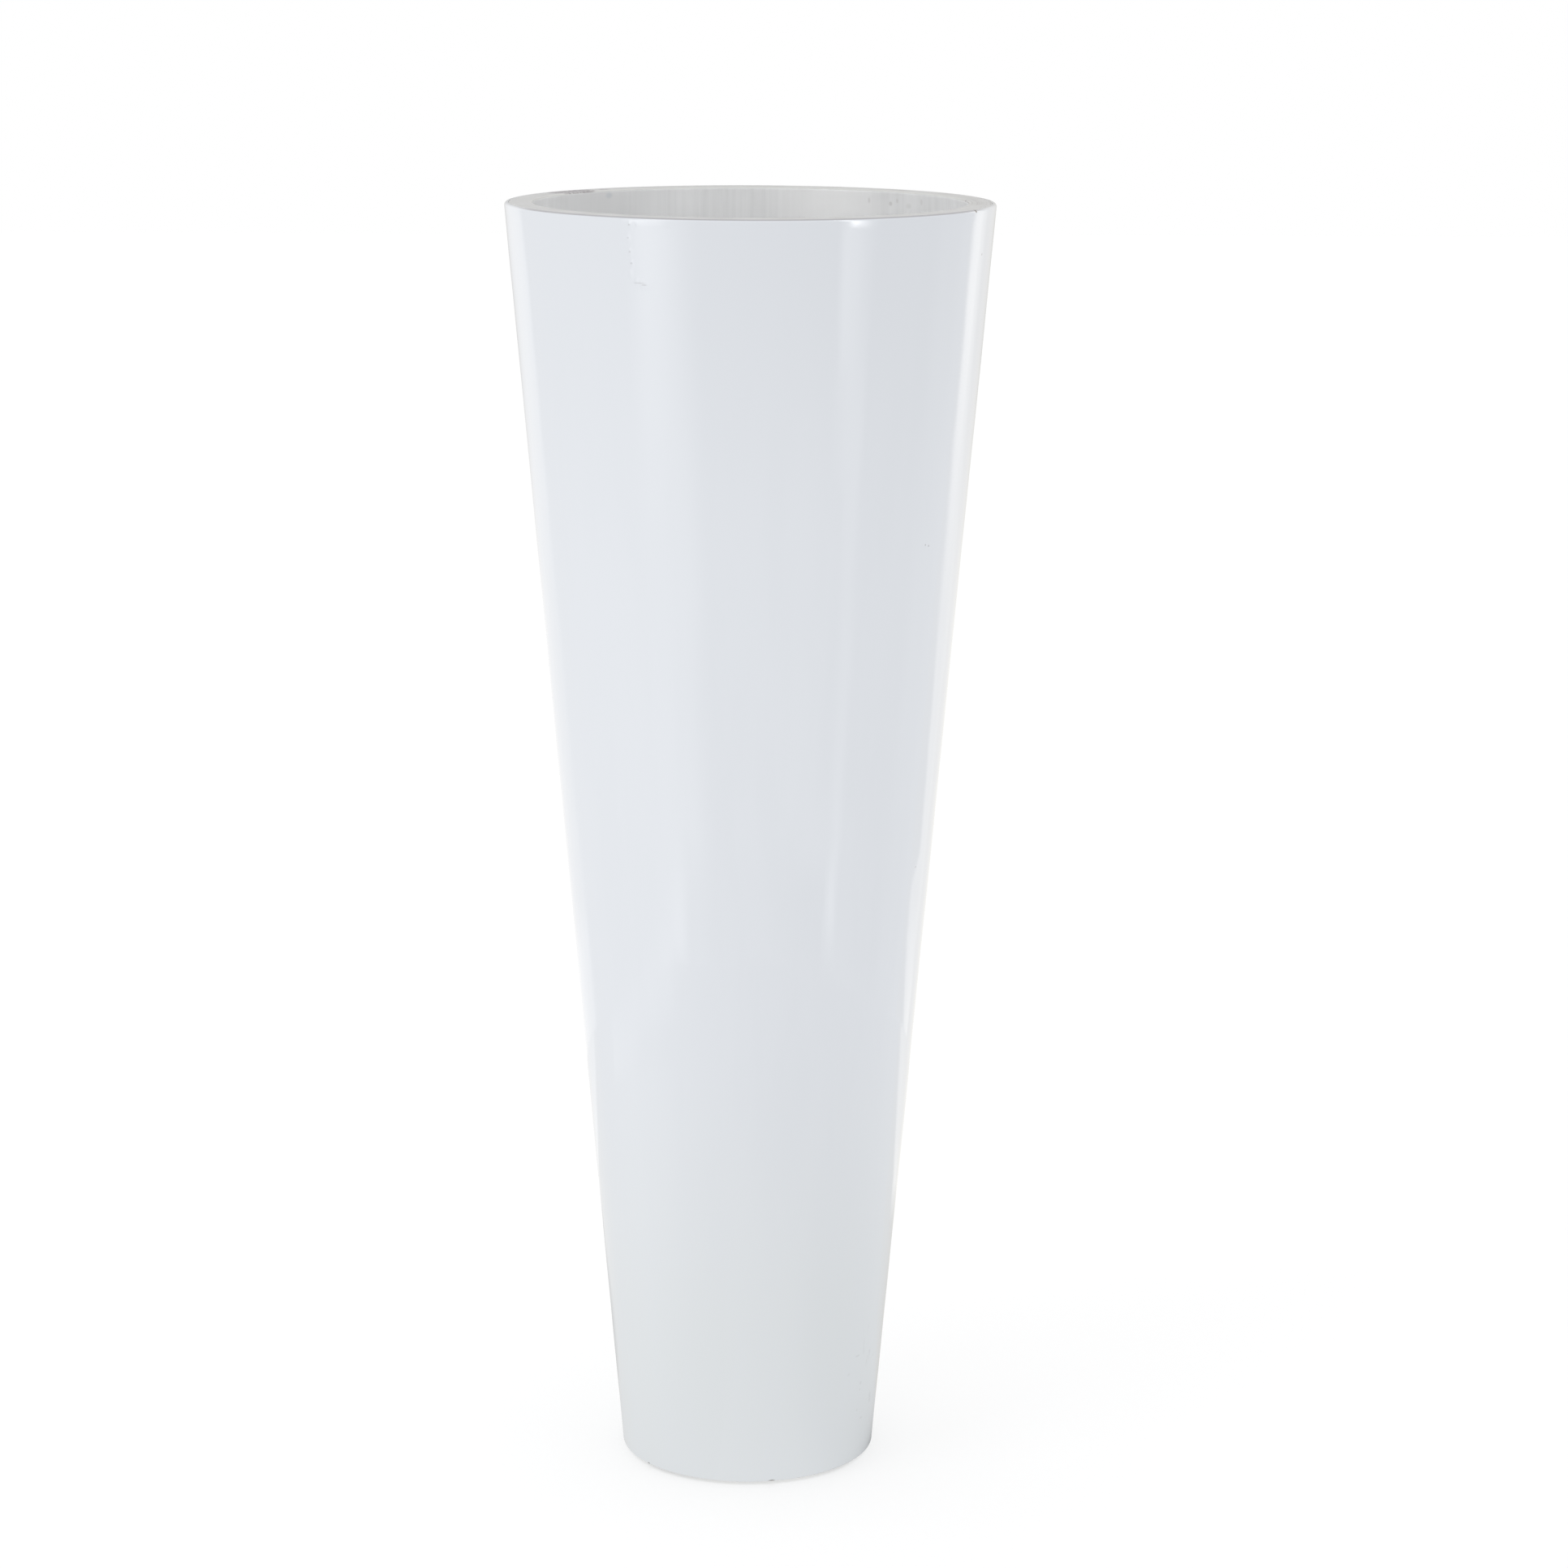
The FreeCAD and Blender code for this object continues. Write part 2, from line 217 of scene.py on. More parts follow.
def pick_edges(piece: Object, wanted: Callable[[Vector, Vector], bool]) -> None:
    """Selects, in edit mode, the edges whose two ends pass a test."""
    pick(piece, Part.EDGES, lambda edge: wanted(*(end.co for end in edge.verts)))


def pick_faces(piece: Object, wanted: Callable[[Vector], bool]) -> None:
    """Selects, in edit mode, the faces whose middle passes a test."""
    pick(piece, Part.FACES, lambda face: wanted(face.calc_center_median()))


def raise_rings(name: str, rings: Sequence[Corner | Rung], steps: int) -> Object:
    """Adds a circle round the vase's axis and extrudes it from ring to ring.

    Args:
        name: The new object's name.
        rings: The rings, in order.
        steps: How many faces go round.

    Returns:
        The new object, in edit mode.
    """
    first = rings[0]
    deselect_all()
    bpy.ops.mesh.primitive_circle_add(vertices=steps, radius=first.radius, location=(0, 0, first.height))
    piece = bpy.context.object
    piece.name = name
    piece.data.name = name
    bpy.ops.object.transform_apply(location=True, rotation=True, scale=True)
    bpy.ops.object.mode_set(mode="EDIT")
    bpy.ops.mesh.select_mode(type="EDGE")
    bpy.ops.mesh.select_all(action="SELECT")
    for before, ring in pairwise(rings):
        rise = ring.height - before.height
        bpy.ops.mesh.extrude_region_move(TRANSFORM_OT_translate={"value": (0, 0, rise)})
        share = ring.radius / before.radius
        bpy.ops.transform.resize(value=(share, share, 1), center_override=(0, 0, ring.height))
    return piece


def lies_on(point: Vector, corner: Corner) -> bool:
    """Whether a point lies on the ring that a corner turns."""
    off = math.hypot(point.x, point.y) - corner.radius
    return abs(off) < NEAR and abs(point.z - corner.height) < NEAR


def joins(one: Vector, other: Vector, first: Corner, second: Corner) -> bool:
    """Whether an edge's two ends lie on the rings of two corners, one on each."""
    ahead = lies_on(one, first) and lies_on(other, second)
    return ahead or (lies_on(other, first) and lies_on(one, second))


def turn_section(name: str, corners: Sequence[Corner], steps: int, solid: bool = False) -> Object:
    """Turns a half section round the vase's axis, ring by ring.

    Args:
        name: The new piece's name.
        corners: The half section's corners, in order.
        steps: How many faces go round.
        solid: True closes the first and last ring with a flat cap. Otherwise they are joined.

    Returns:
        The new piece, in object mode and selected.
    """
    piece = raise_rings(name, corners, steps)
    ends = (corners[0], corners[-1])
    if solid:
        for end in ends:
            pick_edges(piece, lambda a, b: joins(a, b, end, end))
            bpy.ops.mesh.edge_face_add()
    else:
        pick_edges(piece, lambda a, b: any(joins(a, b, end, end) for end in ends))
        bpy.ops.mesh.bridge_edge_loops()
    bpy.ops.mesh.select_all(action="SELECT")
    bpy.ops.mesh.normals_make_consistent(inside=False)
    for corner, after in zip(corners, [*corners[1:], corners[0]]):
        if corner.rows > 1:
            pick_edges(piece, lambda a, b: joins(a, b, corner, after))
            bpy.ops.mesh.subdivide(number_cuts=corner.rows - 1)
    for corner in corners:
        if corner.ease > 0:
            pick_edges(piece, lambda a, b: joins(a, b, corner, corner))
            bpy.ops.mesh.bevel(offset=corner.ease, segments=EASE_SEGMENTS, profile=0.5, affect="EDGES")
    bpy.ops.object.mode_set(mode="OBJECT")
    bpy.ops.object.shade_smooth_by_angle(angle=SMOOTH_ANGLE)
    return piece


def weigh(piece: Object, name: str, weight: Callable[[Vector], float]) -> None:
    """Gives a piece a vertex group whose weights follow the points' places.

    Args:
        piece: The piece, in object mode.
        name: The group's name.
        weight: The weight of a point, 0 for a point outside the group.
    """
    group = piece.vertex_groups.new(name=name)
    for vertex in piece.data.vertices:
        share = weight(vertex.co)
        if share > 0:
            group.add([vertex.index], share, "REPLACE")


def change(piece: Object, kind: str, **settings: object) -> None:
    """Applies a modifier to a piece.

    Args:
        piece: The piece, in object mode.
        kind: The modifier's type.
        settings: Its properties and their values.
    """
    activate(piece)
    modifier = piece.modifiers.new(kind, kind)
    for name, setting in settings.items():
        setattr(modifier, name, setting)
    bpy.ops.object.modifier_apply(modifier=modifier.name)


def swell(piece: Object, group: str, depth: float, grain: float = 0.0, middle: float = 0.0) -> None:
    """Moves a vertex group along its normals.

    Args:
        piece: The piece, in object mode.
        group: The vertex group that moves.
        depth: How far it moves, in metres.
        grain: The size of the unevenness in metres, or 0 for an even move.
        middle: The level of the unevenness that stays in place.
    """
    clouds = None
    if grain > 0:
        clouds = bpy.data.textures.new(f"{piece.name}_{group}", "CLOUDS")
        clouds.noise_scale = grain
        clouds.noise_depth = 1
    sizes = {"strength": depth, "mid_level": middle, "texture": clouds}
    change(piece, "DISPLACE", vertex_group=group, texture_coords="LOCAL", **sizes)


def dress(piece: Object, *finishes: Material, which: Chooser | None = None) -> None:
    """Gives a piece its materials.

    Args:
        piece: The piece, in object mode.
        finishes: The materials, in slot order.
        which: The slot of a face, from its middle and normal. Without it all faces take the first.
    """
    piece.data.materials.clear()
    for finish in finishes:
        piece.data.materials.append(finish)
    for face in piece.data.polygons:
        face.material_index = which(face.center, face.normal) if which else 0


def settle(piece: Object, body: Body, slot: Slot, *nodes: str) -> Object:
    """Puts a finished piece on its body, in place of its CAD nodes.

    Args:
        piece: The finished piece.
        body: The body that carries it.
        slot: The record's slot for its finish; not used.
        nodes: The CAD nodes that it stands for.

    Returns:
        The piece.
    """
    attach(piece, body.value)
    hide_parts(*nodes)
    return piece


# Finishes


@dataclass(frozen=True)
class Grain:
    """A noise pattern on Object coordinates.

    scale is in grains to the metre, detail the number of finer layers, rough their strength, stretch a
    factor on the scale along each axis, and shift moves the pattern, so that two layers differ.
    """

    scale: float
    detail: float = 2.0
    rough: float = 0.5
    stretch: Triple = (1.0, 1.0, 1.0)
    shift: float = 0.0


@dataclass(frozen=True)
class Mark:
    """A small mark on a turned surface, in degrees and metres.

    core is the share of the mark that has its full strength, and deep its reach along the radius.
    """

    azimuth: float
    radius: float
    height: float
    across: float
    along: float
    strength: float = 1.0
    core: float = 0.3
    deep: float = 0.004

    def middle(self) -> Vector:
        """Where the mark's middle is."""
        return on_ring(self.azimuth, self.radius, self.height)


def on_wall(azimuth: float, height: float, across: float, along: float, strength: float) -> Mark:
    """A mark on the shell's outside."""
    return Mark(azimuth, CONE.outside(height), height, across, along, strength)


class Graph:
    """The node tree of a material or a world, built up a node at a time."""

    def __init__(self, name: str, world: World | None = None) -> None:
        """Starts the empty tree of a new material, or of a world, on Object coordinates.

        Args:
            name: The new material's name.
            world: The world, where the tree is a world's.
        """
        self.owner = world or bpy.data.materials.new(name)
        self.owner.use_nodes = True
        self.tree = self.owner.node_tree
        self.tree.nodes.clear()
        self.place = self.add("ShaderNodeTexCoord").outputs["Object"]

    def feed(self, socket: NodeSocket, value: Value | Tone) -> None:
        """Links a socket to another, or gives it a number or colour.

        Args:
            socket: The input socket.
            value: The output socket, number or colour.
        """
        if isinstance(value, NodeSocket):
            self.tree.links.new(value, socket)
        elif socket.type == "RGBA":
            socket.default_value = (*value, 1.0)
        else:
            socket.default_value = value

    def add(self, kind: str, inputs: Inputs | None = None, **settings: str | bool) -> Node:
        """Adds a node.

        Args:
            kind: The node's type.
            inputs: What goes into its sockets, by a socket's name or number.
            settings: Its properties and their values.

        Returns:
            The node.
        """
        node = self.tree.nodes.new(kind)
        for name, setting in settings.items():
            setattr(node, name, setting)
        for socket, value in (inputs or {}).items():
            self.feed(node.inputs[socket], value)
        return node

    def reckon(self, operation: str, first: Value, second: Value, clamp: bool = False) -> NodeSocket:
        """Reckons with two values, and where asked keeps the result between 0 and 1."""
        node = self.add("ShaderNodeMath", {0: first, 1: second}, operation=operation, use_clamp=clamp)
        return node.outputs[0]

    def gather(self, operation: str, values: Sequence[NodeSocket]) -> NodeSocket:
        """Reckons with several values, one after the other."""
        return reduce(partial(self.reckon, operation), values)

    def times(self, value: NodeSocket, factor: Value) -> NodeSocket:
        """A value times a factor."""
        return self.reckon("MULTIPLY", value, factor)

    def layered(self, *layers: tuple[NodeSocket, float]) -> NodeSocket:
        """Adds up patterns, each times its share."""
        return self.gather("ADD", [self.times(*layer) for layer in layers])

    def roughened(self, rough: NodeSocket, mask: NodeSocket, more: float) -> NodeSocket:
        """A roughness that is raised where a mask lies."""
        return self.reckon("ADD", rough, self.times(mask, more), clamp=True)

    def span(
        self, value: NodeSocket, low: float, high: float, start: float = 0.0, end: float = 1.0
    ) -> NodeSocket:
        """Maps the range from low to high smoothly onto the range from start to end."""
        inputs = {"Value": value, "From Min": low, "From Max": high, "To Min": start, "To Max": end}
        return self.add("ShaderNodeMapRange", inputs, interpolation_type="SMOOTHSTEP").outputs["Result"]

    def spread(self, noise: NodeSocket, start: float = 0.0, end: float = 1.0) -> NodeSocket:
        """Maps a noise's usual range onto the range from start to end."""
        return self.span(noise, *NOISE_RANGE, start, end)

    def noise(self, grain: Grain) -> NodeSocket:
        """Adds a noise pattern, from 0 to 1.

        Args:
            grain: The pattern's sizes.

        Returns:
            The pattern's socket.
        """
        laid = {"Vector": self.place, "Location": (grain.shift,) * 3, "Scale": grain.stretch}
        place = self.add("ShaderNodeMapping", laid).outputs["Vector"]
        sizes = {"Scale": grain.scale, "Detail": grain.detail, "Roughness": grain.rough}
        return self.add("ShaderNodeTexNoise", {"Vector": place, **sizes}).outputs["Fac"]

    def seen(self) -> NodeSocket:
        """1 for rays that show a thing, directly or in gloss or glass, and 0 for rays of light."""
        path = self.add("ShaderNodeLightPath").outputs
        return self.gather("MAXIMUM", [path[ray] for ray in SEEING_RAYS])

    def part(self, axis: str) -> NodeSocket:
        """One of the coordinates of a point."""
        return self.add("ShaderNodeSeparateXYZ", {0: self.place}).outputs[axis]

    def length(self, vector: NodeSocket) -> NodeSocket:
        """The length of a vector."""
        return self.add("ShaderNodeVectorMath", {0: vector}, operation="LENGTH").outputs["Value"]

    def radius(self) -> NodeSocket:
        """A point's distance from the vase's axis."""
        flat = self.add("ShaderNodeVectorMath", {0: self.place, 1: FLAT}, operation="MULTIPLY")
        return self.length(flat.outputs["Vector"])

    def spot(self, mark: Mark) -> NodeSocket:
        """A mark's mask, from 0 round it to its strength in its middle.

        Args:
            mark: The mark.

        Returns:
            The mask's socket.
        """
        inputs = {
            "Vector": self.place,
            "Location": mark.middle(),
            "Rotation": (0.0, 0.0, math.radians(mark.azimuth)),
            "Scale": (mark.across, mark.deep, mark.along),
        }
        laid = self.add("ShaderNodeMapping", inputs, vector_type="TEXTURE")
        return self.span(self.length(laid.outputs["Vector"]), 1.0, mark.core, 0.0, mark.strength)

    def spots(self, marks: Sequence[Mark]) -> NodeSocket:
        """The masks of several marks in one."""
        return self.gather("MAXIMUM", [self.spot(mark) for mark in marks])

    def blend(self, share: NodeSocket, first: Tone, second: Tone) -> NodeSocket:
        """Mixes two colours: share says how much of the second one shows."""
        inputs = {"Factor": share, MIX_FIRST: first, MIX_SECOND: second}
        return self.add("ShaderNodeMix", inputs, data_type="RGBA").outputs[MIX_RESULT]

    def bump(self, height: NodeSocket, depth: float, under: NodeSocket | None = None) -> NodeSocket:
        """Raises a relief.

        Args:
            height: The relief, from 0 to 1.
            depth: How far 1 stands out, in metres.
            under: The relief that this one lies on.

        Returns:
            The normal's socket.
        """
        inputs = {"Strength": 1.0, "Distance": depth, "Height": height}
        if under is not None:
            inputs["Normal"] = under
        return self.add("ShaderNodeBump", inputs).outputs["Normal"]

    def finish(self, colour: NodeSocket, rough: Value, normal: NodeSocket) -> Material:
        """Ends the tree in a plain opaque surface with a colour, a roughness and a relief."""
        inputs = {"Base Color": colour, "Roughness": rough, "Normal": normal, "IOR": RESIN_IOR}
        return self.end(self.add("ShaderNodeBsdfPrincipled", inputs).outputs["BSDF"])

    def end(self, surface: NodeSocket, output: str = "ShaderNodeOutputMaterial") -> Material | World:
        """Ends the tree in a surface, and gives the material or the world."""
        self.add(output, {"Surface": surface})
        return self.owner


@dataclass(frozen=True)
class Gelcoat:
    """Glossy cool white gelcoat with a faint haze, orange peel and a few old marks, with painted shade
    towards the rim and towards the foot, and a darker line along the front of the rim's edge.
    """

    # Painted shade: the wall's colour darkens towards the rim, standing in for less light on the upper
    # wall.
    shaded_crown: Colour = (0.772, 0.797, 0.838)
    upper: Colour = (0.800, 0.826, 0.868)
    # Painted shade: darker and less blue towards the foot, standing in for the dimmer, neutral light near
    # the floor.
    lower: Colour = (0.760, 0.790, 0.805)
    cloudy: Colour = (0.770, 0.798, 0.842)
    streaky: Colour = (0.762, 0.790, 0.832)
    # Grey of the scuffs, and of the darker line along the front of the rim's outer edge.
    scuff_and_edge_grey: Colour = (0.46, 0.455, 0.475)
    bruise: Colour = (0.34, 0.32, 0.335)
    speck_tone: Colour = (0.20, 0.18, 0.16)
    clouds: Grain = Grain(4.0, 3.0)
    streaks: Grain = Grain(38.0, 3.0, 0.55, (1.0, 1.0, 0.12))
    scratches: Grain = Grain(160.0, 3.0, 0.6, (1.0, 1.0, 0.35))
    orange_peel: Grain = Grain(150.0)
    relief: float = 0.00002
    shaded_lower_range: Range = (0.5, 0.05)
    shaded_crown_range: Range = (0.82, 1.22)
    cloud_share: Range = (0.0, 0.25)
    streak_range: Range = (0.4, 0.7, 0.0, 0.22)
    scratch_range: Range = (0.56, 0.70)
    gloss_range: Range = (0.35, 0.75, 0.05, 0.12)
    # Where the darker line along the rim's outer edge lies: its heights, and how it fades away from the
    # front.
    dark_edge_range: Range = (1.1987, 1.1993)
    dark_edge_front: Range = (-0.06, -0.12)
    scuff_share: float = 0.35
    bruise_rough: float = 0.6
    worn_rough: float = 0.3
    specks: tuple[Mark, ...] = (
        on_wall(52.6, 0.902, 0.0013, 0.0013, 0.40),
        on_wall(54.1, 0.9005, 0.0013, 0.0013, 0.45),
        on_wall(70.0, 1.1588, 0.0016, 0.0016, 0.55),
        on_wall(63.9, 0.593, 0.0013, 0.0013, 0.4),
        on_wall(-27.9, 1.1935, 0.0016, 0.0014, 0.22),
        on_wall(-28.4, 1.182, 0.0014, 0.0012, 0.16),
        on_wall(-28.1, 1.170, 0.0016, 0.0014, 0.18),
        on_wall(-27.8, 1.160, 0.0016, 0.0014, 0.22),
        on_wall(-26.0, 1.143, 0.008, 0.0011, 0.16),
        on_wall(-24.8, 1.1415, 0.004, 0.0010, 0.24),
        on_wall(53.3, 0.1145, 0.0048, 0.0014, 0.12),
        on_wall(67.4, 0.105, 0.0022, 0.0018, 0.08),
        on_wall(48.0, 0.0985, 0.0030, 0.0022, 0.06),
        on_wall(57.6, 0.0838, 0.0026, 0.0024, 0.10),
        on_wall(57.4, 0.0771, 0.0022, 0.0018, 0.08),
        on_wall(56.5, 0.0564, 0.0020, 0.0018, 0.08),
        on_wall(61.0, 0.0454, 0.0040, 0.0014, 0.10),
        # Two dark marks right at the foot's edge.
        on_wall(-51.3, 0.0045, 0.0026, 0.0014, 0.85),
        on_wall(11.0, 0.0045, 0.0042, 0.0014, 0.8),
        Mark(63.6, 0.2240, 1.1992, 0.0019, 0.0018, 1.0, 0.8),
    )
    scuffs: tuple[Mark, ...] = (
        on_wall(50.0, 0.180, 0.016, 0.020, 0.5),
        on_wall(60.0, 0.120, 0.020, 0.035, 0.6),
        on_wall(72.0, 0.055, 0.018, 0.030, 0.7),
    )
    edge_bruise: Mark = Mark(-126.0, 0.223, 1.2, 0.026, 0.0018, 0.9, 0.5, 0.010)

    def make(self) -> Material:
        """Makes the material.

        Returns:
            The material.
        """
        graph = Graph("gelcoat")
        height = graph.part("Z")
        # Painted shade: darkens the colour and takes out blue towards the foot.
        colour = graph.blend(graph.span(height, *self.shaded_lower_range), self.upper, self.lower)
        # Painted shade: darkens the colour towards the rim.
        colour = graph.blend(graph.span(height, *self.shaded_crown_range), colour, self.shaded_crown)
        cloud = graph.spread(graph.noise(self.clouds), *self.cloud_share)
        colour = graph.blend(cloud, colour, self.cloudy)
        streak = graph.noise(self.streaks)
        colour = graph.blend(graph.span(streak, *self.streak_range), colour, self.streaky)
        # A darker line along the rim's outer edge, on the front half only.
        in_front = graph.span(graph.part("Y"), *self.dark_edge_front)
        edge = graph.times(in_front, graph.span(height, *self.dark_edge_range))
        colour = graph.blend(edge, colour, self.scuff_and_edge_grey)
        scratch = graph.span(graph.noise(self.scratches), *self.scratch_range)
        scuffed = graph.times(graph.spots(self.scuffs), scratch)
        colour = graph.blend(graph.times(scuffed, self.scuff_share), colour, self.scuff_and_edge_grey)
        bruised = graph.spot(self.edge_bruise)
        colour = graph.blend(bruised, colour, self.bruise)
        colour = graph.blend(graph.spots(self.specks), colour, self.speck_tone)
        rough = graph.span(streak, *self.gloss_range)
        rough = graph.roughened(rough, bruised, self.bruise_rough)
        rough = graph.roughened(rough, scuffed, self.worn_rough)
        rough = graph.roughened(rough, edge, self.worn_rough)
        return graph.finish(colour, rough, graph.bump(graph.noise(self.orange_peel), self.relief))


@dataclass(frozen=True)
class Topcoat:
    """Grey topcoat, brushed up and down over the laminate, with runs and smudges, a painted pool of light
    on the right back of the mouth and painted shade on its left back.
    """

    pale: Colour = (0.935, 0.940, 0.944)
    dark: Colour = (0.840, 0.845, 0.848)
    # Painted light: the bright colour of the pool of light inside the mouth.
    painted_light: Colour = (0.990, 0.992, 0.992)
    smudge: Colour = (0.60, 0.59, 0.58)
    cool_smudge: Colour = (0.66, 0.70, 0.74)
    bristles: Grain = Grain(60.0, stretch=(1.0, 1.0, 0.05))
    hairs: Grain = Grain(260.0, 3.0, 0.6, (1.0, 1.0, 0.03), 3.0)
    patches: Grain = Grain(9.0, 3.0, 0.55, (1.0, 1.0, 0.4), 7.0)
    runs: Grain = Grain(24.0, 2.0, 0.5, (1.0, 1.0, 0.3), 5.0)
    bristle_share: float = 0.45
    hair_share: float = 0.4
    patch_share: float = 0.45
    pale_range: Range = (0.48, 0.82)
    gloss: Range = (0.32, 0.5)
    relief: float = 0.0004
    run_relief: float = 0.0008
    # Painted light and painted shade inside the mouth: a bright patch on the right back where light falls
    # in from the front left, and a darker patch on the left back.
    painted_light_pool: Mark = Mark(157.0, 0.199, 1.18, 0.085, 0.10, 0.9, 0.1, 0.05)
    painted_shade_patch: Mark = Mark(-135.0, 0.199, 1.18, 0.10, 0.10, 0.75, 0.1, 0.08)
    smudges: tuple[Mark, ...] = (
        Mark(138.1, 0.199, 1.188, 0.003, 0.0030, 0.50),
        Mark(135.7, 0.199, 1.191, 0.002, 0.0030, 0.35),
        Mark(131.4, 0.199, 1.187, 0.005, 0.0035, 0.25),
        Mark(126.0, 0.199, 1.1915, 0.0025, 0.004, 0.30),
        Mark(145.4, 0.199, 1.190, 0.002, 0.004, 0.35),
    )
    cool: Mark = Mark(-137.5, 0.199, 1.195, 0.006, 0.004, 0.5)

    def make(self) -> Material:
        """Makes the material.

        Returns:
            The material.
        """
        graph = Graph("topcoat")
        patch = graph.noise(self.patches)
        brushed = graph.layered(
            (graph.noise(self.bristles), self.bristle_share),
            (graph.noise(self.hairs), self.hair_share),
            (patch, self.patch_share),
        )
        colour = graph.blend(graph.span(brushed, *self.pale_range), self.dark, self.pale)
        # Painted light: lightens the wall where light falls into the mouth.
        colour = graph.blend(graph.spot(self.painted_light_pool), colour, self.painted_light)
        # Painted shade: darkens the wall away from that light.
        colour = graph.blend(graph.spot(self.painted_shade_patch), colour, self.dark)
        colour = graph.blend(graph.spots(self.smudges), colour, self.smudge)
        colour = graph.blend(graph.spot(self.cool), colour, self.cool_smudge)
        normal = graph.bump(graph.noise(self.runs), self.run_relief)
        normal = graph.bump(brushed, self.relief, normal)
        return graph.finish(colour, graph.spread(patch, *self.gloss), normal)


@dataclass(frozen=True)
class SandedRim:
    """The rim's flat top, sanded back to a neutral satin, with ring lines, chips and a painted highlight
    along the inner lip.
    """

    pale: Colour = (0.678, 0.679, 0.676)
    dark: Colour = (0.655, 0.656, 0.653)
    # Painted highlight: the pale colour of the inner lip, standing in for the light it catches from
    # above.
    lip: Colour = (0.715, 0.715, 0.700)
    bruise: Colour = (0.30, 0.27, 0.29)
    mottling: Grain = Grain(46.0)
    breaks: Grain = Grain(320.0, 3.0, 0.6)
    ring_lines: Grain = Grain(900.0)
    lip_highlight_range: Range = (0.2025, 0.2005)
    line_range: Range = (0.58, 0.66)
    break_range: Range = (0.3, 0.6)
    gloss: Range = (0.32, 0.48)
    line_share: float = 0.5
    chip_rough: float = 0.5
    relief: float = 0.00005
    chips: tuple[Mark, ...] = (
        Mark(97.2, 0.1998, 1.1996, 0.0024, 0.003, 0.9, 0.4),
        Mark(137.5, 0.214, 1.2, 0.006, 0.003, 0.45),
        Mark(-126.0, 0.2095, 1.2, 0.036, 0.005, 0.85, 0.7, 0.018),
        Mark(-138.0, 0.210, 1.2, 0.010, 0.003, 0.8, 0.3, 0.007),
    )
    lined: Mark = Mark(92.0, 0.211, 1.2, 0.075, 0.006, 1.0, 0.4, 0.02)

    def make(self) -> Material:
        """Makes the material.

        Returns:
            The material.
        """
        graph = Graph("sanded_rim")
        mottle = graph.noise(self.mottling)
        colour = graph.blend(graph.spread(mottle), self.dark, self.pale)
        away = graph.radius()
        # Painted highlight: lightens the inner lip.
        colour = graph.blend(graph.span(away, *self.lip_highlight_range), colour, self.lip)
        sizes = {"W": away, "Scale": self.ring_lines.scale, "Detail": self.ring_lines.detail}
        rings = graph.add("ShaderNodeTexNoise", sizes, noise_dimensions="1D").outputs["Fac"]
        lines = graph.times(graph.span(rings, *self.line_range), graph.spot(self.lined))
        colour = graph.blend(graph.times(lines, self.line_share), colour, self.bruise)
        broken = graph.span(graph.noise(self.breaks), *self.break_range)
        chipped = graph.times(graph.spots(self.chips), broken)
        colour = graph.blend(chipped, colour, self.bruise)
        rough = graph.roughened(graph.spread(mottle, *self.gloss), chipped, self.chip_rough)
        return graph.finish(colour, rough, graph.bump(mottle, self.relief))


@dataclass(frozen=True)
class RawLaminate:
    """Bare glass laminate under a thin grey topcoat: chopped strands show through."""

    pale: Colour = (0.60, 0.605, 0.585)
    dark: Colour = (0.42, 0.43, 0.41)
    strands: Grain = Grain(120.0, 4.0, 0.65, (1.0, 0.25, 0.6))
    cross_strands: Grain = Grain(120.0, 4.0, 0.65, (0.25, 1.0, 0.6), 4.0)
    patches: Grain = Grain(14.0, 3.0, shift=9.0)
    strand_share: float = 0.6
    patch_share: float = 0.4
    pale_range: Range = (0.4, 0.68)
    gloss: Range = (0.4, 0.6)
    relief: float = 0.0004

    def make(self) -> Material:
        """Makes the material.

        Returns:
            The material.
        """
        graph = Graph("raw_laminate")
        matted = graph.reckon("MAXIMUM", graph.noise(self.strands), graph.noise(self.cross_strands))
        patch = graph.noise(self.patches)
        shade = graph.layered((matted, self.strand_share), (patch, self.patch_share))
        colour = graph.blend(graph.span(shade, *self.pale_range), self.dark, self.pale)
        return graph.finish(colour, graph.spread(patch, *self.gloss), graph.bump(matted, self.relief))


@dataclass(frozen=True)
class Plywood:
    """Bare plywood, its plies lying flat."""

    pale: Colour = (0.62, 0.46, 0.29)
    dark: Colour = (0.36, 0.24, 0.13)
    plies: Grain = Grain(180.0, stretch=(0.02, 0.02, 1.0))
    fibres: Grain = Grain(90.0, 4.0, 0.6, (1.0, 0.06, 0.3), 2.0)
    ply_share: float = 0.6
    fibre_share: float = 0.4
    pale_range: Range = (0.4, 0.65)
    rough: float = 0.7
    relief: float = 0.0002

    def make(self) -> Material:
        """Makes the material.

        Returns:
            The material.
        """
        graph = Graph("hoop_plywood")
        fibre = graph.noise(self.fibres)
        shade = graph.layered((graph.noise(self.plies), self.ply_share), (fibre, self.fibre_share))
        colour = graph.blend(graph.span(shade, *self.pale_range), self.dark, self.pale)
        return graph.finish(colour, self.rough, graph.bump(fibre, self.relief))


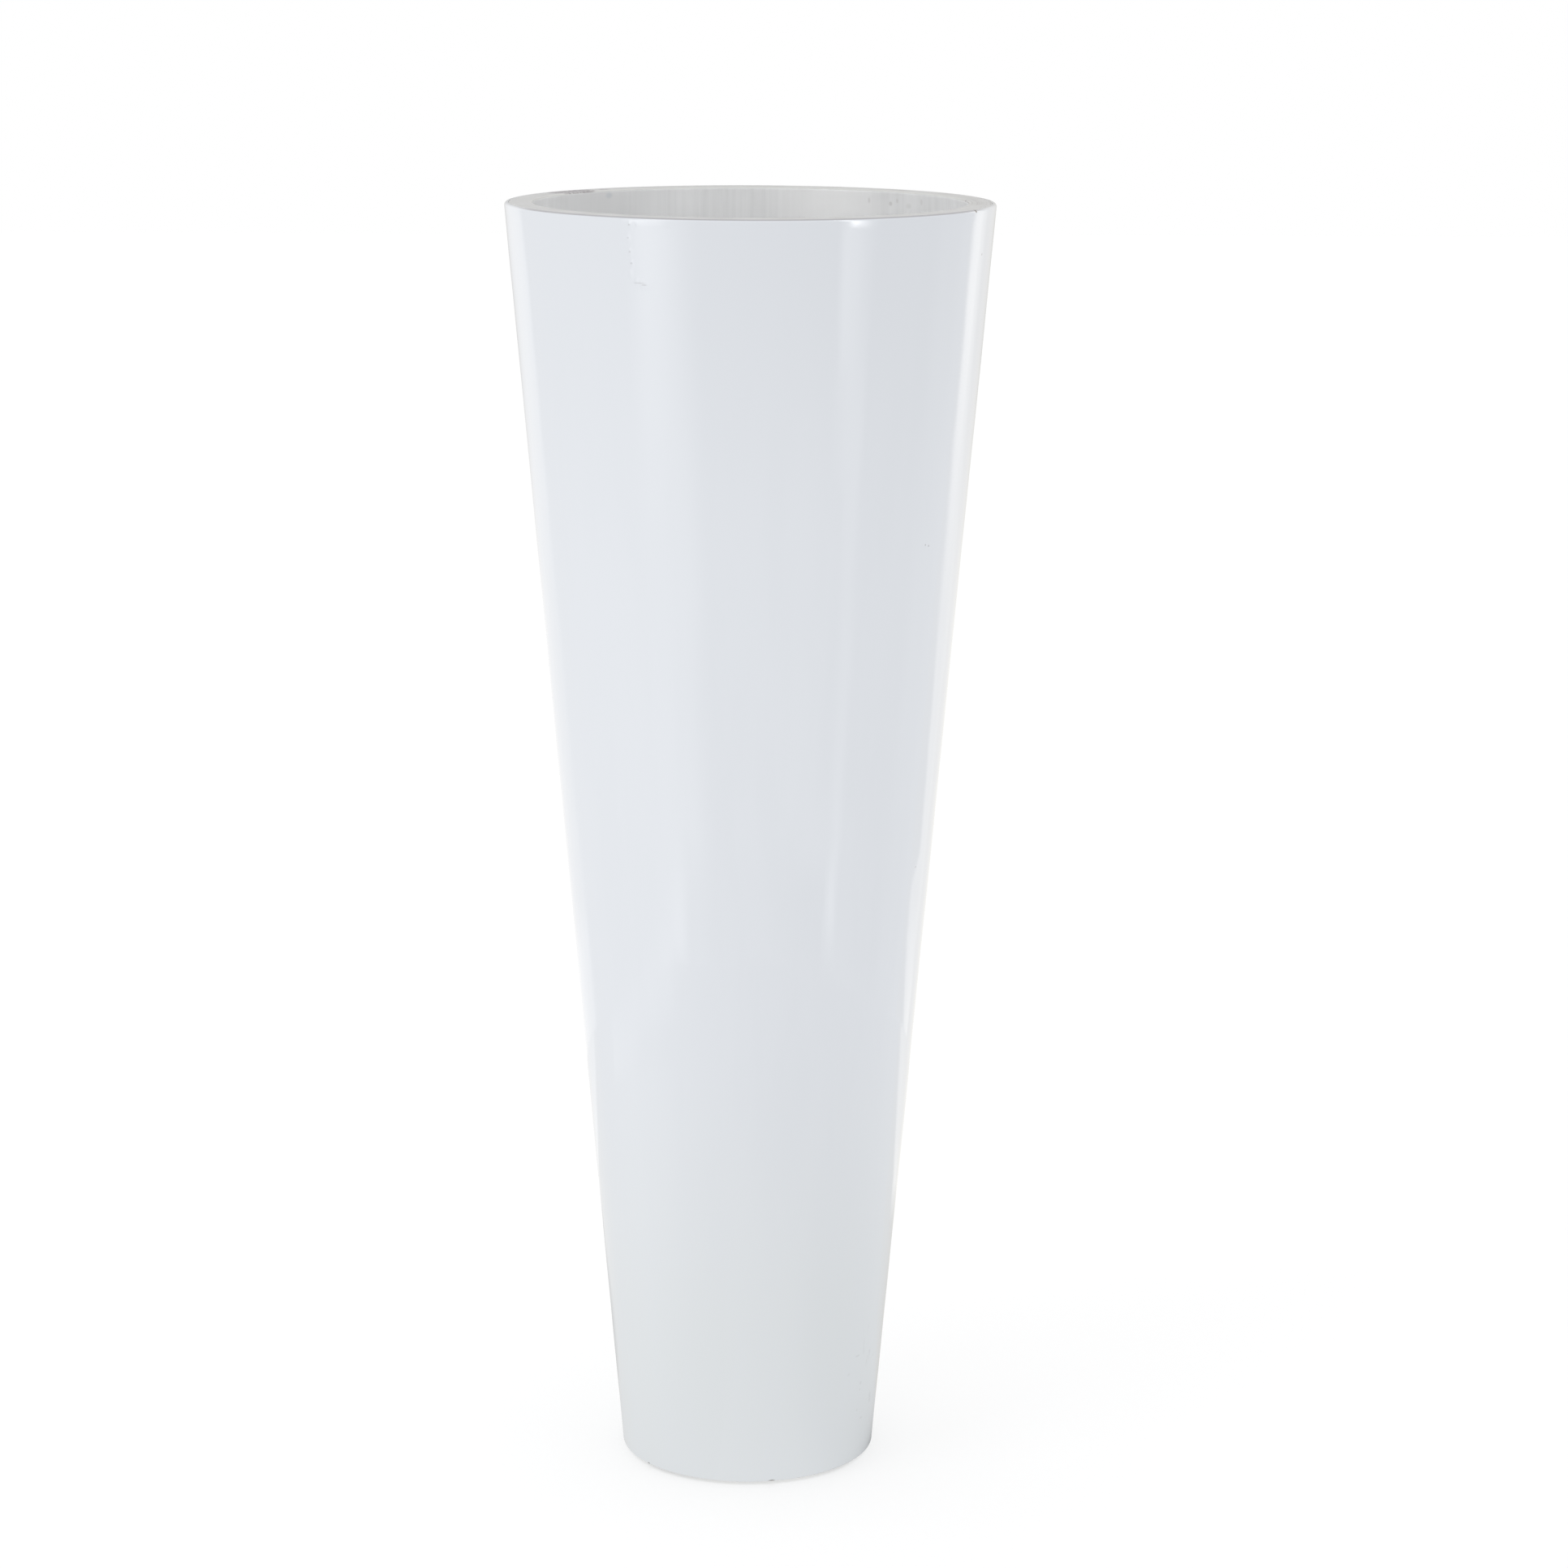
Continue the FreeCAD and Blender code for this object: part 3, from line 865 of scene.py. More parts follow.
@dataclass(frozen=True)
class PlasticBoard:
    """Dark plastic board with a fine moulded grain and scuffed by pots."""

    deep: Colour = (0.030, 0.032, 0.035)
    worn: Colour = (0.085, 0.088, 0.092)
    moulded: Grain = Grain(900.0)
    clouds: Grain = Grain(16.0, 4.0, 0.6, shift=3.0)
    scratches: Grain = Grain(120.0, 3.0, 0.6, (1.0, 0.08, 1.0), 6.0)
    worn_range: Range = (0.45, 0.8, 0.0, 0.6)
    scratch_range: Range = (0.62, 0.72, 0.0, 0.6)
    gloss: Range = (0.42, 0.58)
    relief: float = 0.00012

    def make(self) -> Material:
        """Makes the material.

        Returns:
            The material.
        """
        graph = Graph("shelf_board")
        cloud = graph.noise(self.clouds)
        scratch = graph.span(graph.noise(self.scratches), *self.scratch_range)
        shade = graph.reckon("MAXIMUM", graph.span(cloud, *self.worn_range), scratch)
        colour = graph.blend(shade, self.deep, self.worn)
        normal = graph.bump(graph.noise(self.moulded), self.relief)
        return graph.finish(colour, graph.spread(cloud, *self.gloss), normal)


@dataclass(frozen=True)
class Concrete:
    """Cast concrete: cement paste, fine sand and darker stones."""

    paste: Colour = (0.47, 0.46, 0.43)
    dark: Colour = (0.30, 0.29, 0.27)
    sandy: Colour = (0.62, 0.60, 0.56)
    stone: Colour = (0.22, 0.21, 0.20)
    clouds: Grain = Grain(12.0, 4.0, 0.6)
    sand: Grain = Grain(420.0, 3.0, 0.7, shift=4.0)
    stones: float = 85.0
    paste_range: Range = (0.35, 0.7)
    sand_range: Range = (0.5, 0.75, 0.0, 0.35)
    stone_range: Range = (0.24, 0.16)
    gloss: Range = (0.8, 0.95)
    stone_share: float = 0.6
    relief: float = 0.0006

    def make(self) -> Material:
        """Makes the material.

        Returns:
            The material.
        """
        graph = Graph("ballast_concrete")
        cloud = graph.noise(self.clouds)
        sand = graph.noise(self.sand)
        colour = graph.blend(graph.span(cloud, *self.paste_range), self.dark, self.paste)
        colour = graph.blend(graph.span(sand, *self.sand_range), colour, self.sandy)
        cells = graph.add("ShaderNodeTexVoronoi", {"Vector": graph.place, "Scale": self.stones})
        stones = graph.span(cells.outputs["Distance"], *self.stone_range)
        colour = graph.blend(graph.times(stones, self.stone_share), colour, self.stone)
        return graph.finish(colour, graph.spread(cloud, *self.gloss), graph.bump(sand, self.relief))


@dataclass(frozen=True)
class TubePlastic:
    """Grey drain tube, with faint drawn lines and lime marks."""

    plain: Colour = (0.30, 0.31, 0.32)
    limed: Colour = (0.48, 0.48, 0.46)
    drawn: Grain = Grain(700.0, stretch=(1.0, 1.0, 0.02))
    lime: Grain = Grain(60.0, 4.0, 0.6, (1.0, 1.0, 0.5), 5.0)
    lime_range: Range = (0.5, 0.75, 0.0, 0.7)
    gloss_range: Range = (0.4, 0.7, 0.3, 0.55)
    relief: float = 0.00005

    def make(self) -> Material:
        """Makes the material.

        Returns:
            The material.
        """
        graph = Graph("sleeve_plastic")
        lime = graph.noise(self.lime)
        colour = graph.blend(graph.span(lime, *self.lime_range), self.plain, self.limed)
        normal = graph.bump(graph.noise(self.drawn), self.relief)
        return graph.finish(colour, graph.span(lime, *self.gloss_range), normal)


@dataclass(frozen=True)
class Rubber:
    """Matt black rubber with a fine moulded skin, dusty in places."""

    deep: Colour = (0.022, 0.022, 0.023)
    dusty: Colour = (0.075, 0.073, 0.070)
    skin: Grain = Grain(1500.0)
    dust: Grain = Grain(110.0, 4.0, 0.65, shift=2.0)
    dust_range: Range = (0.45, 0.75)
    gloss: Range = (0.55, 0.8)
    relief: float = 0.00008

    def make(self) -> Material:
        """Makes the material.

        Returns:
            The material.
        """
        graph = Graph("black_rubber")
        dust = graph.noise(self.dust)
        colour = graph.blend(graph.span(dust, *self.dust_range), self.deep, self.dusty)
        normal = graph.bump(graph.noise(self.skin), self.relief)
        return graph.finish(colour, graph.spread(dust, *self.gloss), normal)


@dataclass(frozen=True)
class Finishes:
    """The vase's materials, each made once."""

    gelcoat: Material = field(default_factory=Gelcoat().make)
    topcoat: Material = field(default_factory=Topcoat().make)
    sanded_rim: Material = field(default_factory=SandedRim().make)
    laminate: Material = field(default_factory=RawLaminate().make)
    plywood: Material = field(default_factory=Plywood().make)
    board: Material = field(default_factory=PlasticBoard().make)
    concrete: Material = field(default_factory=Concrete().make)
    tube: Material = field(default_factory=TubePlastic().make)
    rubber: Material = field(default_factory=Rubber().make)


# The vase's sub-assemblies


@dataclass
class OuterShell:
    """The tapered skin: gelcoat outside, brushed topcoat inside."""

    finishes: Finishes
    rim_ease: float = 0.003
    foot_ease: float = 0.0009
    steps: int = 288
    rows: int = 150
    inner_rows: int = 20
    still_edge: float = 0.03
    broad_wave: float = 0.0009
    broad_grain: float = 0.13
    fine_wave: float = 0.00022
    fine_grain: float = 0.035
    wave_middle: float = 0.5
    pimple_depth: float = 0.0006
    pimple_reach: float = 0.0032
    pimple_cuts: int = 4
    pimples: tuple[Triple, ...] = (
        (-27.9, 1.1935, 0.8),
        (-28.4, 1.182, 0.7),
        (-28.1, 1.170, 1.0),
        (-27.8, 1.160, 0.8),
        (-28.2, 1.151, 0.7),
        (-26.6, 1.1435, 0.9),
        (-25.4, 1.1425, 0.7),
        (-24.3, 1.1405, 0.6),
    )

    def is_outside(self, point: Vector) -> bool:
        """Whether a point lies on the outer wall."""
        return math.hypot(point.x, point.y) > CONE.outside(point.z) - CONE.wall / 8

    def wave_weight(self, point: Vector) -> float:
        """How much of the wall's waviness a point takes: none at the rim and the foot.

        Args:
            point: A point of the shell.

        Returns:
            The weight, from 0 to 1.
        """
        if not self.is_outside(point):
            return 0.0
        return share_of(min(point.z - CONE.foot, CONE.rim - point.z) / self.still_edge)

    def from_pimple(self, point: Vector, azimuth: float, height: float) -> float:
        """How far a point is from a pimple's middle, in times the pimple's reach."""
        return (point - on_ring(azimuth, CONE.outside(height), height)).length / self.pimple_reach

    def pimple_weight(self, point: Vector) -> float:
        """How far a point stands out on the row of resin pimples.

        Args:
            point: A point of the shell.

        Returns:
            The weight, from 0 to 1.
        """
        if not self.is_outside(point):
            return 0.0
        weight = 0.0
        for azimuth, height, share in self.pimples:
            near = min(1.0, self.from_pimple(point, azimuth, height))
            weight = max(weight, share * (1 - near * near) ** 2)
        return weight

    def near_pimple(self, middle: Vector) -> bool:
        """Whether a face's middle is near a pimple."""
        return any(self.from_pimple(middle, *pimple[:2]) < 2 for pimple in self.pimples)

    def finish_of(self, middle: Vector, normal: Vector) -> int:
        """The material slot of a face of the shell: its outside and edges, or its inside."""
        return int(normal.x * middle.x + normal.y * middle.y < -0.5 * CONE.foot_radius)

    def build(self) -> Object:
        """Builds and dresses the shell.

        Returns:
            The shell.
        """
        piece = turn_section(
            "gelcoat_shell",
            [
                Corner(CONE.foot_radius, CONE.foot, self.foot_ease, self.rows),
                Corner(CONE.rim_radius, CONE.rim, self.rim_ease),
                Corner(CONE.inside(CONE.rim), CONE.rim, rows=self.inner_rows),
                Corner(CONE.inside(CONE.foot), CONE.foot),
            ],
            self.steps,
        )
        bpy.ops.object.mode_set(mode="EDIT")
        pick_faces(piece, self.near_pimple)
        bpy.ops.mesh.subdivide(number_cuts=self.pimple_cuts, smoothness=1.0)
        bpy.ops.object.mode_set(mode="OBJECT")
        weigh(piece, "pimples", self.pimple_weight)
        weigh(piece, "waves", self.wave_weight)
        swell(piece, "waves", self.broad_wave, self.broad_grain, self.wave_middle)
        swell(piece, "waves", self.fine_wave, self.fine_grain, self.wave_middle)
        swell(piece, "pimples", self.pimple_depth)
        dress(piece, self.finishes.gelcoat, self.finishes.topcoat, which=self.finish_of)
        return settle(piece, Body.VASE, Slot.GELCOAT, "outer_shell")


@dataclass
class Rim:
    """The rim moulding, a channel with a flat top, and the hoop inside it."""

    finishes: Finishes
    mouth_radius: float = 0.199
    deck: float = 0.004
    web: float = 0.0035
    drop: float = 0.060
    lap: float = 0.045
    bond_ease: float = 0.0004
    lip_ease: float = 0.002
    root_ease: float = 0.003
    foot_ease: float = 0.001
    steps: int = 288
    deck_rows: int = 4
    leg_rows: int = 14
    ripple: float = 0.0007
    ripple_grain: float = 0.05
    ripple_middle: float = 1.0
    top_slope: float = 0.3

    def leg_weight(self, point: Vector) -> float:
        """How much of the hand-laid ripple a point on the mouth's leg takes.

        Args:
            point: A point of the moulding.

        Returns:
            The weight, from 0 to 1.
        """
        if abs(math.hypot(point.x, point.y) - self.mouth_radius) > NEAR:
            return 0.0
        foot = CONE.rim - self.drop
        return share_of(min(point.z - foot, CONE.rim - point.z) / (4 * self.lip_ease))

    def finish_of(self, middle: Vector, normal: Vector) -> int:
        """The material slot of a face of the moulding: its top, its mouth leg or its back.

        Args:
            middle: The face's middle.
            normal: The face's normal.

        Returns:
            The slot's number.
        """
        if middle.z > CONE.rim - self.lip_ease and normal.z > self.top_slope:
            return 0
        inwards = normal.x * middle.x + normal.y * middle.y < 0
        at_mouth = math.hypot(middle.x, middle.y) < self.mouth_radius + self.web / 2
        return 1 if inwards and at_mouth else 2

    def build(self) -> Object:
        """Builds and dresses the rim moulding, and dresses the hidden hoop.

        Returns:
            The rim moulding.
        """
        top = CONE.rim
        under = top - self.deck
        drop_foot = top - self.drop
        lap_foot = top - self.lap
        channel = self.mouth_radius + self.web
        piece = turn_section(
            "rim_moulding",
            [
                Corner(CONE.bonded(top), top, self.bond_ease, self.deck_rows),
                Corner(self.mouth_radius, top, self.lip_ease, self.leg_rows),
                Corner(self.mouth_radius, drop_foot, self.foot_ease),
                Corner(channel, drop_foot, self.foot_ease),
                Corner(channel, under, self.root_ease),
                Corner(CONE.bonded(under) - self.web, under, self.root_ease),
                Corner(CONE.bonded(lap_foot) - self.web, lap_foot, self.foot_ease),
                Corner(CONE.bonded(lap_foot), lap_foot),
            ],
            self.steps,
        )
        weigh(piece, "leg", self.leg_weight)
        swell(piece, "leg", self.ripple, self.ripple_grain, self.ripple_middle)
        materials = (self.finishes.sanded_rim, self.finishes.topcoat, self.finishes.laminate)
        dress(piece, *materials, which=self.finish_of)
        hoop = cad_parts["rim_core_hoop"]
        hoop.data.materials.clear()
        hoop.data.materials.append(self.finishes.plywood)
        return settle(piece, Body.VASE, Slot.GELCOAT, "rim_ring")


@dataclass
class PlantingShelf:
    """The loose board that carries the plant, and the ledge it rests on."""

    finishes: Finishes
    ledge_inside: float = 0.17222
    ledge_lip: float = 0.006
    ledge_toe: float = 0.0015
    ledge_ease: float = 0.0012
    ledge_rows: int = 4
    lip_rows: int = 2
    slope_rows: int = 10
    ripple: float = 0.0012
    ripple_grain: float = 0.02
    ripple_middle: float = 1.0
    board_radius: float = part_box("planting_shelf")[1][0]
    seep_radius: float = 0.007
    seep_ring: float = 0.075
    seep_holes: int = 6
    finger_radius: float = 0.016
    finger_ring: float = 0.12622
    finger_azimuths: tuple[float, ...] = (90, -90)
    hole_ease: float = 0.0012
    hole_segments: int = 3
    hole_angle: float = math.radians(60)
    steps: int = 192
    hole_steps: int = 48

    def build_ledge(self) -> Object:
        """Builds and dresses the ledge.

        Returns:
            The ledge.
        """
        foot, top = heights("shelf_ledge")
        lip = top - self.ledge_lip
        piece = turn_section(
            "ledge_bracket",
            [
                Corner(CONE.bonded(foot), foot),
                Corner(CONE.bonded(top), top, rows=self.ledge_rows),
                Corner(self.ledge_inside, top, self.ledge_ease, self.lip_rows),
                Corner(self.ledge_inside, lip, self.ledge_ease, self.slope_rows),
                Corner(CONE.bonded(foot) - self.ledge_toe, foot),
            ],
            self.steps,
        )
        weigh(piece, "slope", lambda point: float(lip > point.z > foot + self.ledge_toe))
        swell(piece, "slope", self.ripple, self.ripple_grain, self.ripple_middle)
        dress(piece, self.finishes.laminate)
        return settle(piece, Body.VASE, Slot.LAMINATE, "shelf_ledge")

    def drill(self, piece: Object, azimuth: float, ring: float, radius: float) -> None:
        """Cuts one hole through the board.

        Args:
            piece: The board.
            azimuth: Where the hole is, in degrees from the front towards the right.
            ring: How far the hole is from the axis.
            radius: The hole's radius.
        """
        foot, top = heights("planting_shelf")
        deselect_all()
        bpy.ops.mesh.primitive_cylinder_add(
            vertices=self.hole_steps,
            radius=radius,
            depth=3 * (top - foot),
            location=on_ring(azimuth, ring, (foot + top) / 2),
        )
        cutter = bpy.context.object
        change(piece, "BOOLEAN", operation="DIFFERENCE", solver="EXACT", object=cutter)
        bpy.data.objects.remove(cutter)

    def build_board(self) -> Object:
        """Builds and dresses the loose board.

        Returns:
            The board.
        """
        section = [Corner(self.board_radius, height) for height in heights("planting_shelf")]
        piece = turn_section("planting_board", section, self.steps, solid=True)
        for count in range(self.seep_holes):
            self.drill(piece, 90 + 360 / self.seep_holes * count, self.seep_ring, self.seep_radius)
        for azimuth in self.finger_azimuths:
            self.drill(piece, azimuth, self.finger_ring, self.finger_radius)
        sizes = {"width": self.hole_ease, "segments": self.hole_segments, "angle_limit": self.hole_angle}
        change(piece, "BEVEL", limit_method="ANGLE", **sizes)
        bpy.ops.object.shade_smooth_by_angle(angle=SMOOTH_ANGLE)
        dress(piece, self.finishes.board)
        return settle(piece, Body.SHELF, Slot.BOARD, "planting_shelf")


@dataclass
class WeightedFloor:
    """The moulded floor pan, the concrete cast into it and the drain tube."""

    finishes: Finishes
    hole_radius: float = 0.0163
    pan_floor: float = 0.006
    pan_web: float = 0.0035
    pan_rows: int = 6
    bend_rows: int = 4
    root_rows: int = 2
    root_ease: float = 0.008
    corner_ease: float = 0.004
    tube_inside: float = 0.0125
    tube_outside: float = 0.016
    collar: float = 0.024
    collar_height: float = 0.003
    edge_ease: float = 0.0008
    steps: int = 192
    tube_steps: int = 96
    cast_rows: int = 24
    cast_dip: float = 0.0022
    cast_grain: float = 0.014
    cast_middle: float = 1.0
    collar_rest: float = 0.026

    def build_pan(self) -> Object:
        """Builds and dresses the floor pan.

        Returns:
            The pan.
        """
        foot, top = heights("base_pan")
        inside = foot + self.pan_floor
        piece = turn_section(
            "floor_pan",
            [
                Corner(self.hole_radius, foot, rows=self.pan_rows),
                Corner(CONE.bonded(foot), foot, self.corner_ease, self.bend_rows),
                Corner(CONE.bonded(top), top, self.edge_ease),
                Corner(CONE.bonded(top) - self.pan_web, top, self.edge_ease, self.pan_rows),
                Corner(CONE.bonded(inside) - self.pan_web, inside, self.root_ease, self.root_rows),
                Corner(self.hole_radius, inside),
            ],
            self.steps,
        )
        dress(piece, self.finishes.laminate)
        return settle(piece, Body.VASE, Slot.LAMINATE, "base_pan")

    def build_weight(self) -> Object:
        """Builds and dresses the cast weight.

        Returns:
            The weight.
        """
        foot, top = heights("ballast_disc")
        inset = self.pan_web + CONE.bond
        piece = turn_section(
            "concrete_weight",
            [
                Corner(self.hole_radius, foot),
                Corner(CONE.bonded(foot) - inset, foot, self.root_ease, self.bend_rows),
                Corner(CONE.bonded(top) - inset, top, rows=self.cast_rows),
                Corner(self.hole_radius, top),
            ],
            self.steps,
        )

        def cast_weight(point: Vector) -> float:
            """Whether a point is on the cast top, clear of the tube's collar."""
            return float(point.z > top - NEAR and math.hypot(point.x, point.y) > self.collar_rest)

        weigh(piece, "cast", cast_weight)
        swell(piece, "cast", self.cast_dip, self.cast_grain, self.cast_middle)
        dress(piece, self.finishes.concrete)
        return settle(piece, Body.VASE, Slot.CONCRETE, "ballast_disc")

    def build_tube(self) -> Object:
        """Builds and dresses the drain tube.

        Returns:
            The tube.
        """
        foot, top = heights("drain_sleeve")
        under = top - self.collar_height
        piece = turn_section(
            "drain_tube",
            [
                Corner(self.tube_inside, foot, self.edge_ease),
                Corner(self.tube_outside, foot, self.edge_ease),
                Corner(self.tube_outside, under),
                Corner(self.collar, under, self.edge_ease),
                Corner(self.collar, top, self.edge_ease),
                Corner(self.tube_inside, top, self.edge_ease),
            ],
            self.tube_steps,
        )
        dress(piece, self.finishes.tube)
        return settle(piece, Body.VASE, Slot.TUBE, "drain_sleeve")


@dataclass
class DrainPlug:
    """The rubber plug, pushed up the drain from below."""

    finishes: Finishes
    stem: float = 0.0122
    neck: float = 0.0110
    flange: float = 0.021
    flange_height: float = 0.003
    grip: float = 0.008
    grip_height: float = 0.003
    ring: float = 0.005
    grooves: int = 2
    nose_ease: float = 0.0025
    edge_ease: float = 0.0006
    steps: int = 96

    def build(self) -> Object:
        """Builds and dresses the plug.

        Returns:
            The plug.
        """
        foot, top = heights("drain_plug")
        flange_foot = foot + self.grip_height
        flange_top = flange_foot + self.flange_height
        ease = self.edge_ease
        grooves = []
        for count in range(self.grooves):
            low = flange_top + (2 * count + 1) * self.ring
            high = flange_top + (2 * count + 2) * self.ring
            grooves += [Corner(self.stem, low, ease), Corner(self.neck, low, ease)]
            grooves += [Corner(self.neck, high, ease), Corner(self.stem, high, ease)]
        piece = turn_section(
            "rubber_plug",
            [
                Corner(self.grip, foot, ease),
                Corner(self.grip, flange_foot, ease),
                Corner(self.flange, flange_foot, 2 * ease),
                Corner(self.flange, flange_top, ease),
                Corner(self.stem, flange_top),
                *grooves,
                Corner(self.stem, top, self.nose_ease),
            ],
            self.steps,
            solid=True,
        )
        dress(piece, self.finishes.rubber)
        return settle(piece, Body.PLUG, Slot.RUBBER, "drain_plug")


@dataclass
class FootPads:
    """The four rubber pads under the floor pan."""

    finishes: Finishes
    count: int = 4
    radius: float = 0.015
    foot_ease: float = 0.0015
    top_ease: float = 0.0005
    steps: int = 64

    def build(self) -> list[Object]:
        """Builds and dresses the pads, each at the place of its CAD node.

        Returns:
            The pads.
        """
        pads = []
        for number in range(1, self.count + 1):
            node = f"foot_pad_{number}"
            low, high = (Vector(corner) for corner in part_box(node))
            foot = Corner(self.radius, low.z, self.foot_ease)
            top = Corner(self.radius, high.z, self.top_ease)
            pad = turn_section(f"rubber_foot_{number}", [foot, top], self.steps, solid=True)
            bpy.ops.object.mode_set(mode="EDIT")
            bpy.ops.mesh.select_all(action="SELECT")
            bpy.ops.transform.translate(value=((low.x + high.x) / 2, (low.y + high.y) / 2, 0.0))
            bpy.ops.object.mode_set(mode="OBJECT")
            dress(pad, self.finishes.rubber)
            pads.append(settle(pad, Body.VASE, Slot.RUBBER, node))
        return pads


# The studio


@dataclass(frozen=True)
class Viewpoint:
    """The photograph's camera, in metres and degrees."""

    place: Triple = (0.0, -3.6938, 1.4575)
    pitch: float = 12.257
    yaw: float = 0.51
    roll: float = 0.25
    lens: float = 92.01
    sensor: float = 36.0

    def set_up(self) -> None:
        """Adds the camera."""
        yaw, pitch, roll = (math.radians(angle) for angle in (self.yaw, self.pitch, self.roll))
        ahead = Vector(
            (math.sin(yaw) * math.cos(pitch), math.cos(yaw) * math.cos(pitch), -math.sin(pitch))
        )
        level = Vector((math.cos(yaw), -math.sin(yaw), 0.0))
        upright = level.cross(ahead)
        right = math.cos(roll) * level + math.sin(roll) * upright
        above = -math.sin(roll) * level + math.cos(roll) * upright
        data = bpy.data.cameras.new("viewpoint")
        data.sensor_width = self.sensor
        data.lens = self.lens
        camera = bpy.data.objects.new("viewpoint", data)
        bpy.context.scene.collection.objects.link(camera)
        turned = Matrix((right, above, -ahead)).transposed().to_4x4()
        camera.matrix_world = Matrix.Translation(self.place) @ turned
        bpy.context.scene.camera = camera


# Cards: azimuths and turns in degrees, places in metres, glows in the strength of their light

GLOW = "glow"
CARD_STEPS = 720
WALL_RADIUS = 1.3
STRIP_RADIUS = 1.27
HEAD_RADIUS = 1.26
FLOOR_LEVEL = 0.002
SWEEP_LEVEL = 0.005
STANDING_LEVELS = (0.004, 0.07, 0.12, 0.18, 0.235, 0.29, 0.55, 0.92, 1.8)
STANDING_TURNS = (0.0,) * len(STANDING_LEVELS)
LYING_RADII = (0.106, 0.30, 0.66, 0.80, 0.94, 1.2, 1.3)
LYING_TURNS = (0.0,) * len(LYING_RADII)
WHITE: Colour = (1.0, 1.0, 1.0)
WARM: Colour = (1.03, 1.0, 0.95)
NEUTRAL: Colour = (1.01, 1.0, 0.985)


def standing(
    near: Glows, far: Glows, foot: Glows | None = None, turns: Glows = STANDING_TURNS
) -> tuple[Rung, ...]:
    """The rings of a card that stands round the vase.

    Args:
        near: The glow along its lower half.
        far: The glow along its upper half.
        foot: The glow along its foot, where it isn't that of its lower half.
        turns: How far each ring is turned, in degrees.

    Returns:
        The rings, from the foot up.
    """
    low = foot or near
    glows = (low, low, low, near, near, near, near, far, far)
    return tuple(Rung(WALL_RADIUS, *ring) for ring in zip(STANDING_LEVELS, glows, turns))


def lying(
    near: Glows, far: Glows, edge: Glows | None = None, turns: Glows = LYING_TURNS
) -> tuple[Rung, ...]:
    """The rings of a card that lies round the vase.

    Args:
        near: The glow along its inner edge.
        far: The glow along its middle.
        edge: The glow along its outer part, where it isn't that of its middle.
        turns: How far each ring is turned, in degrees.

    Returns:
        The rings, from the inside out.
    """
    half = tuple((one + other) / 2 for one, other in zip(near, far))
    rim = edge or far
    glows = (near, half, far, rim, rim, rim, rim)
    rings = zip(LYING_RADII, glows, turns)
    return tuple(Rung(radius, FLOOR_LEVEL, glow, turn) for radius, glow, turn in rings)


def upright(radius: float, *rings: tuple[float, Glows]) -> tuple[Rung, ...]:
    """The rings of a card that stands at one radius, each with its height and its glow."""
    return tuple(Rung(radius, height, glow) for height, glow in rings)


def smooth(share: float) -> float:
    """A share from 0 to 1 that starts and ends gently."""
    return share * share * (3 - 2 * share)


@dataclass(frozen=True)
class Card:
    """A curved card that only shows as a reflection, from one azimuth to another."""

    name: str
    start: float
    end: float
    rungs: tuple[Rung, ...]
    tint: Colour = WHITE
    rows: int = 6

    def holds(self, point: Vector) -> bool:
        """Whether a point's azimuth lies between the card's start and end."""
        return (azimuth_of(point) - self.start) % 360 < self.end - self.start

    def along(self, rung: Rung, azimuth: float) -> float:
        """The glow of a ring at an azimuth.

        Args:
            rung: The ring.
            azimuth: The azimuth, in degrees.

        Returns:
            The glow.
        """
        away = (azimuth - rung.turn - self.start + 180) % 360 - 180
        steps = len(rung.glow) - 1
        place = steps * share_of(away / (self.end - self.start))
        step = min(int(place), steps - 1)
        before, after = rung.glow[step : step + 2]
        return before + smooth(place - step) * (after - before)

    def glow_at(self, point: Vector) -> float:
        """The card's glow at one of its points, between the two rings that it lies between.

        Args:
            point: The point.

        Returns:
            The glow.
        """
        azimuth = azimuth_of(point)
        reach = math.hypot(point.x, point.y) + point.z
        pairs = list(pairwise(self.rungs))
        below, above = next((pair for pair in pairs if reach <= pair[1].reach()), pairs[-1])
        share = share_of((reach - below.reach()) / (above.reach() - below.reach()))
        turn = below.turn + share * (above.turn - below.turn)
        low = self.along(replace(below, turn=turn), azimuth)
        high = self.along(replace(above, turn=turn), azimuth)
        return low + share * (high - low)

    def shine(self) -> Material:
        """Makes the card's light, which reads the glow from the card's points.

        Returns:
            The material.
        """
        graph = Graph(self.name)
        glow = graph.add("ShaderNodeAttribute", attribute_name=GLOW).outputs["Fac"]
        lit = graph.add("ShaderNodeEmission", {"Color": self.tint, "Strength": glow})
        return graph.end(lit.outputs["Emission"])

    def hang(self) -> None:
        """Adds the card, rung by rung."""
        card = raise_rings(self.name, self.rungs, CARD_STEPS)
        pick_faces(card, lambda middle: not self.holds(middle))
        bpy.ops.mesh.delete(type="FACE")
        pick_edges(card, lambda a, b: abs(a.cross(b).z) < NEAR)
        bpy.ops.mesh.subdivide(number_cuts=self.rows - 1)
        bpy.ops.object.mode_set(mode="OBJECT")
        glow = card.data.attributes.new(GLOW, "FLOAT", "POINT")
        for vertex in card.data.vertices:
            glow.data[vertex.index].value = self.glow_at(vertex.co)
        card.data.materials.append(self.shine())
        card.visible_camera = False
        card.visible_diffuse = False
        card.visible_transmission = False
        card.visible_shadow = False


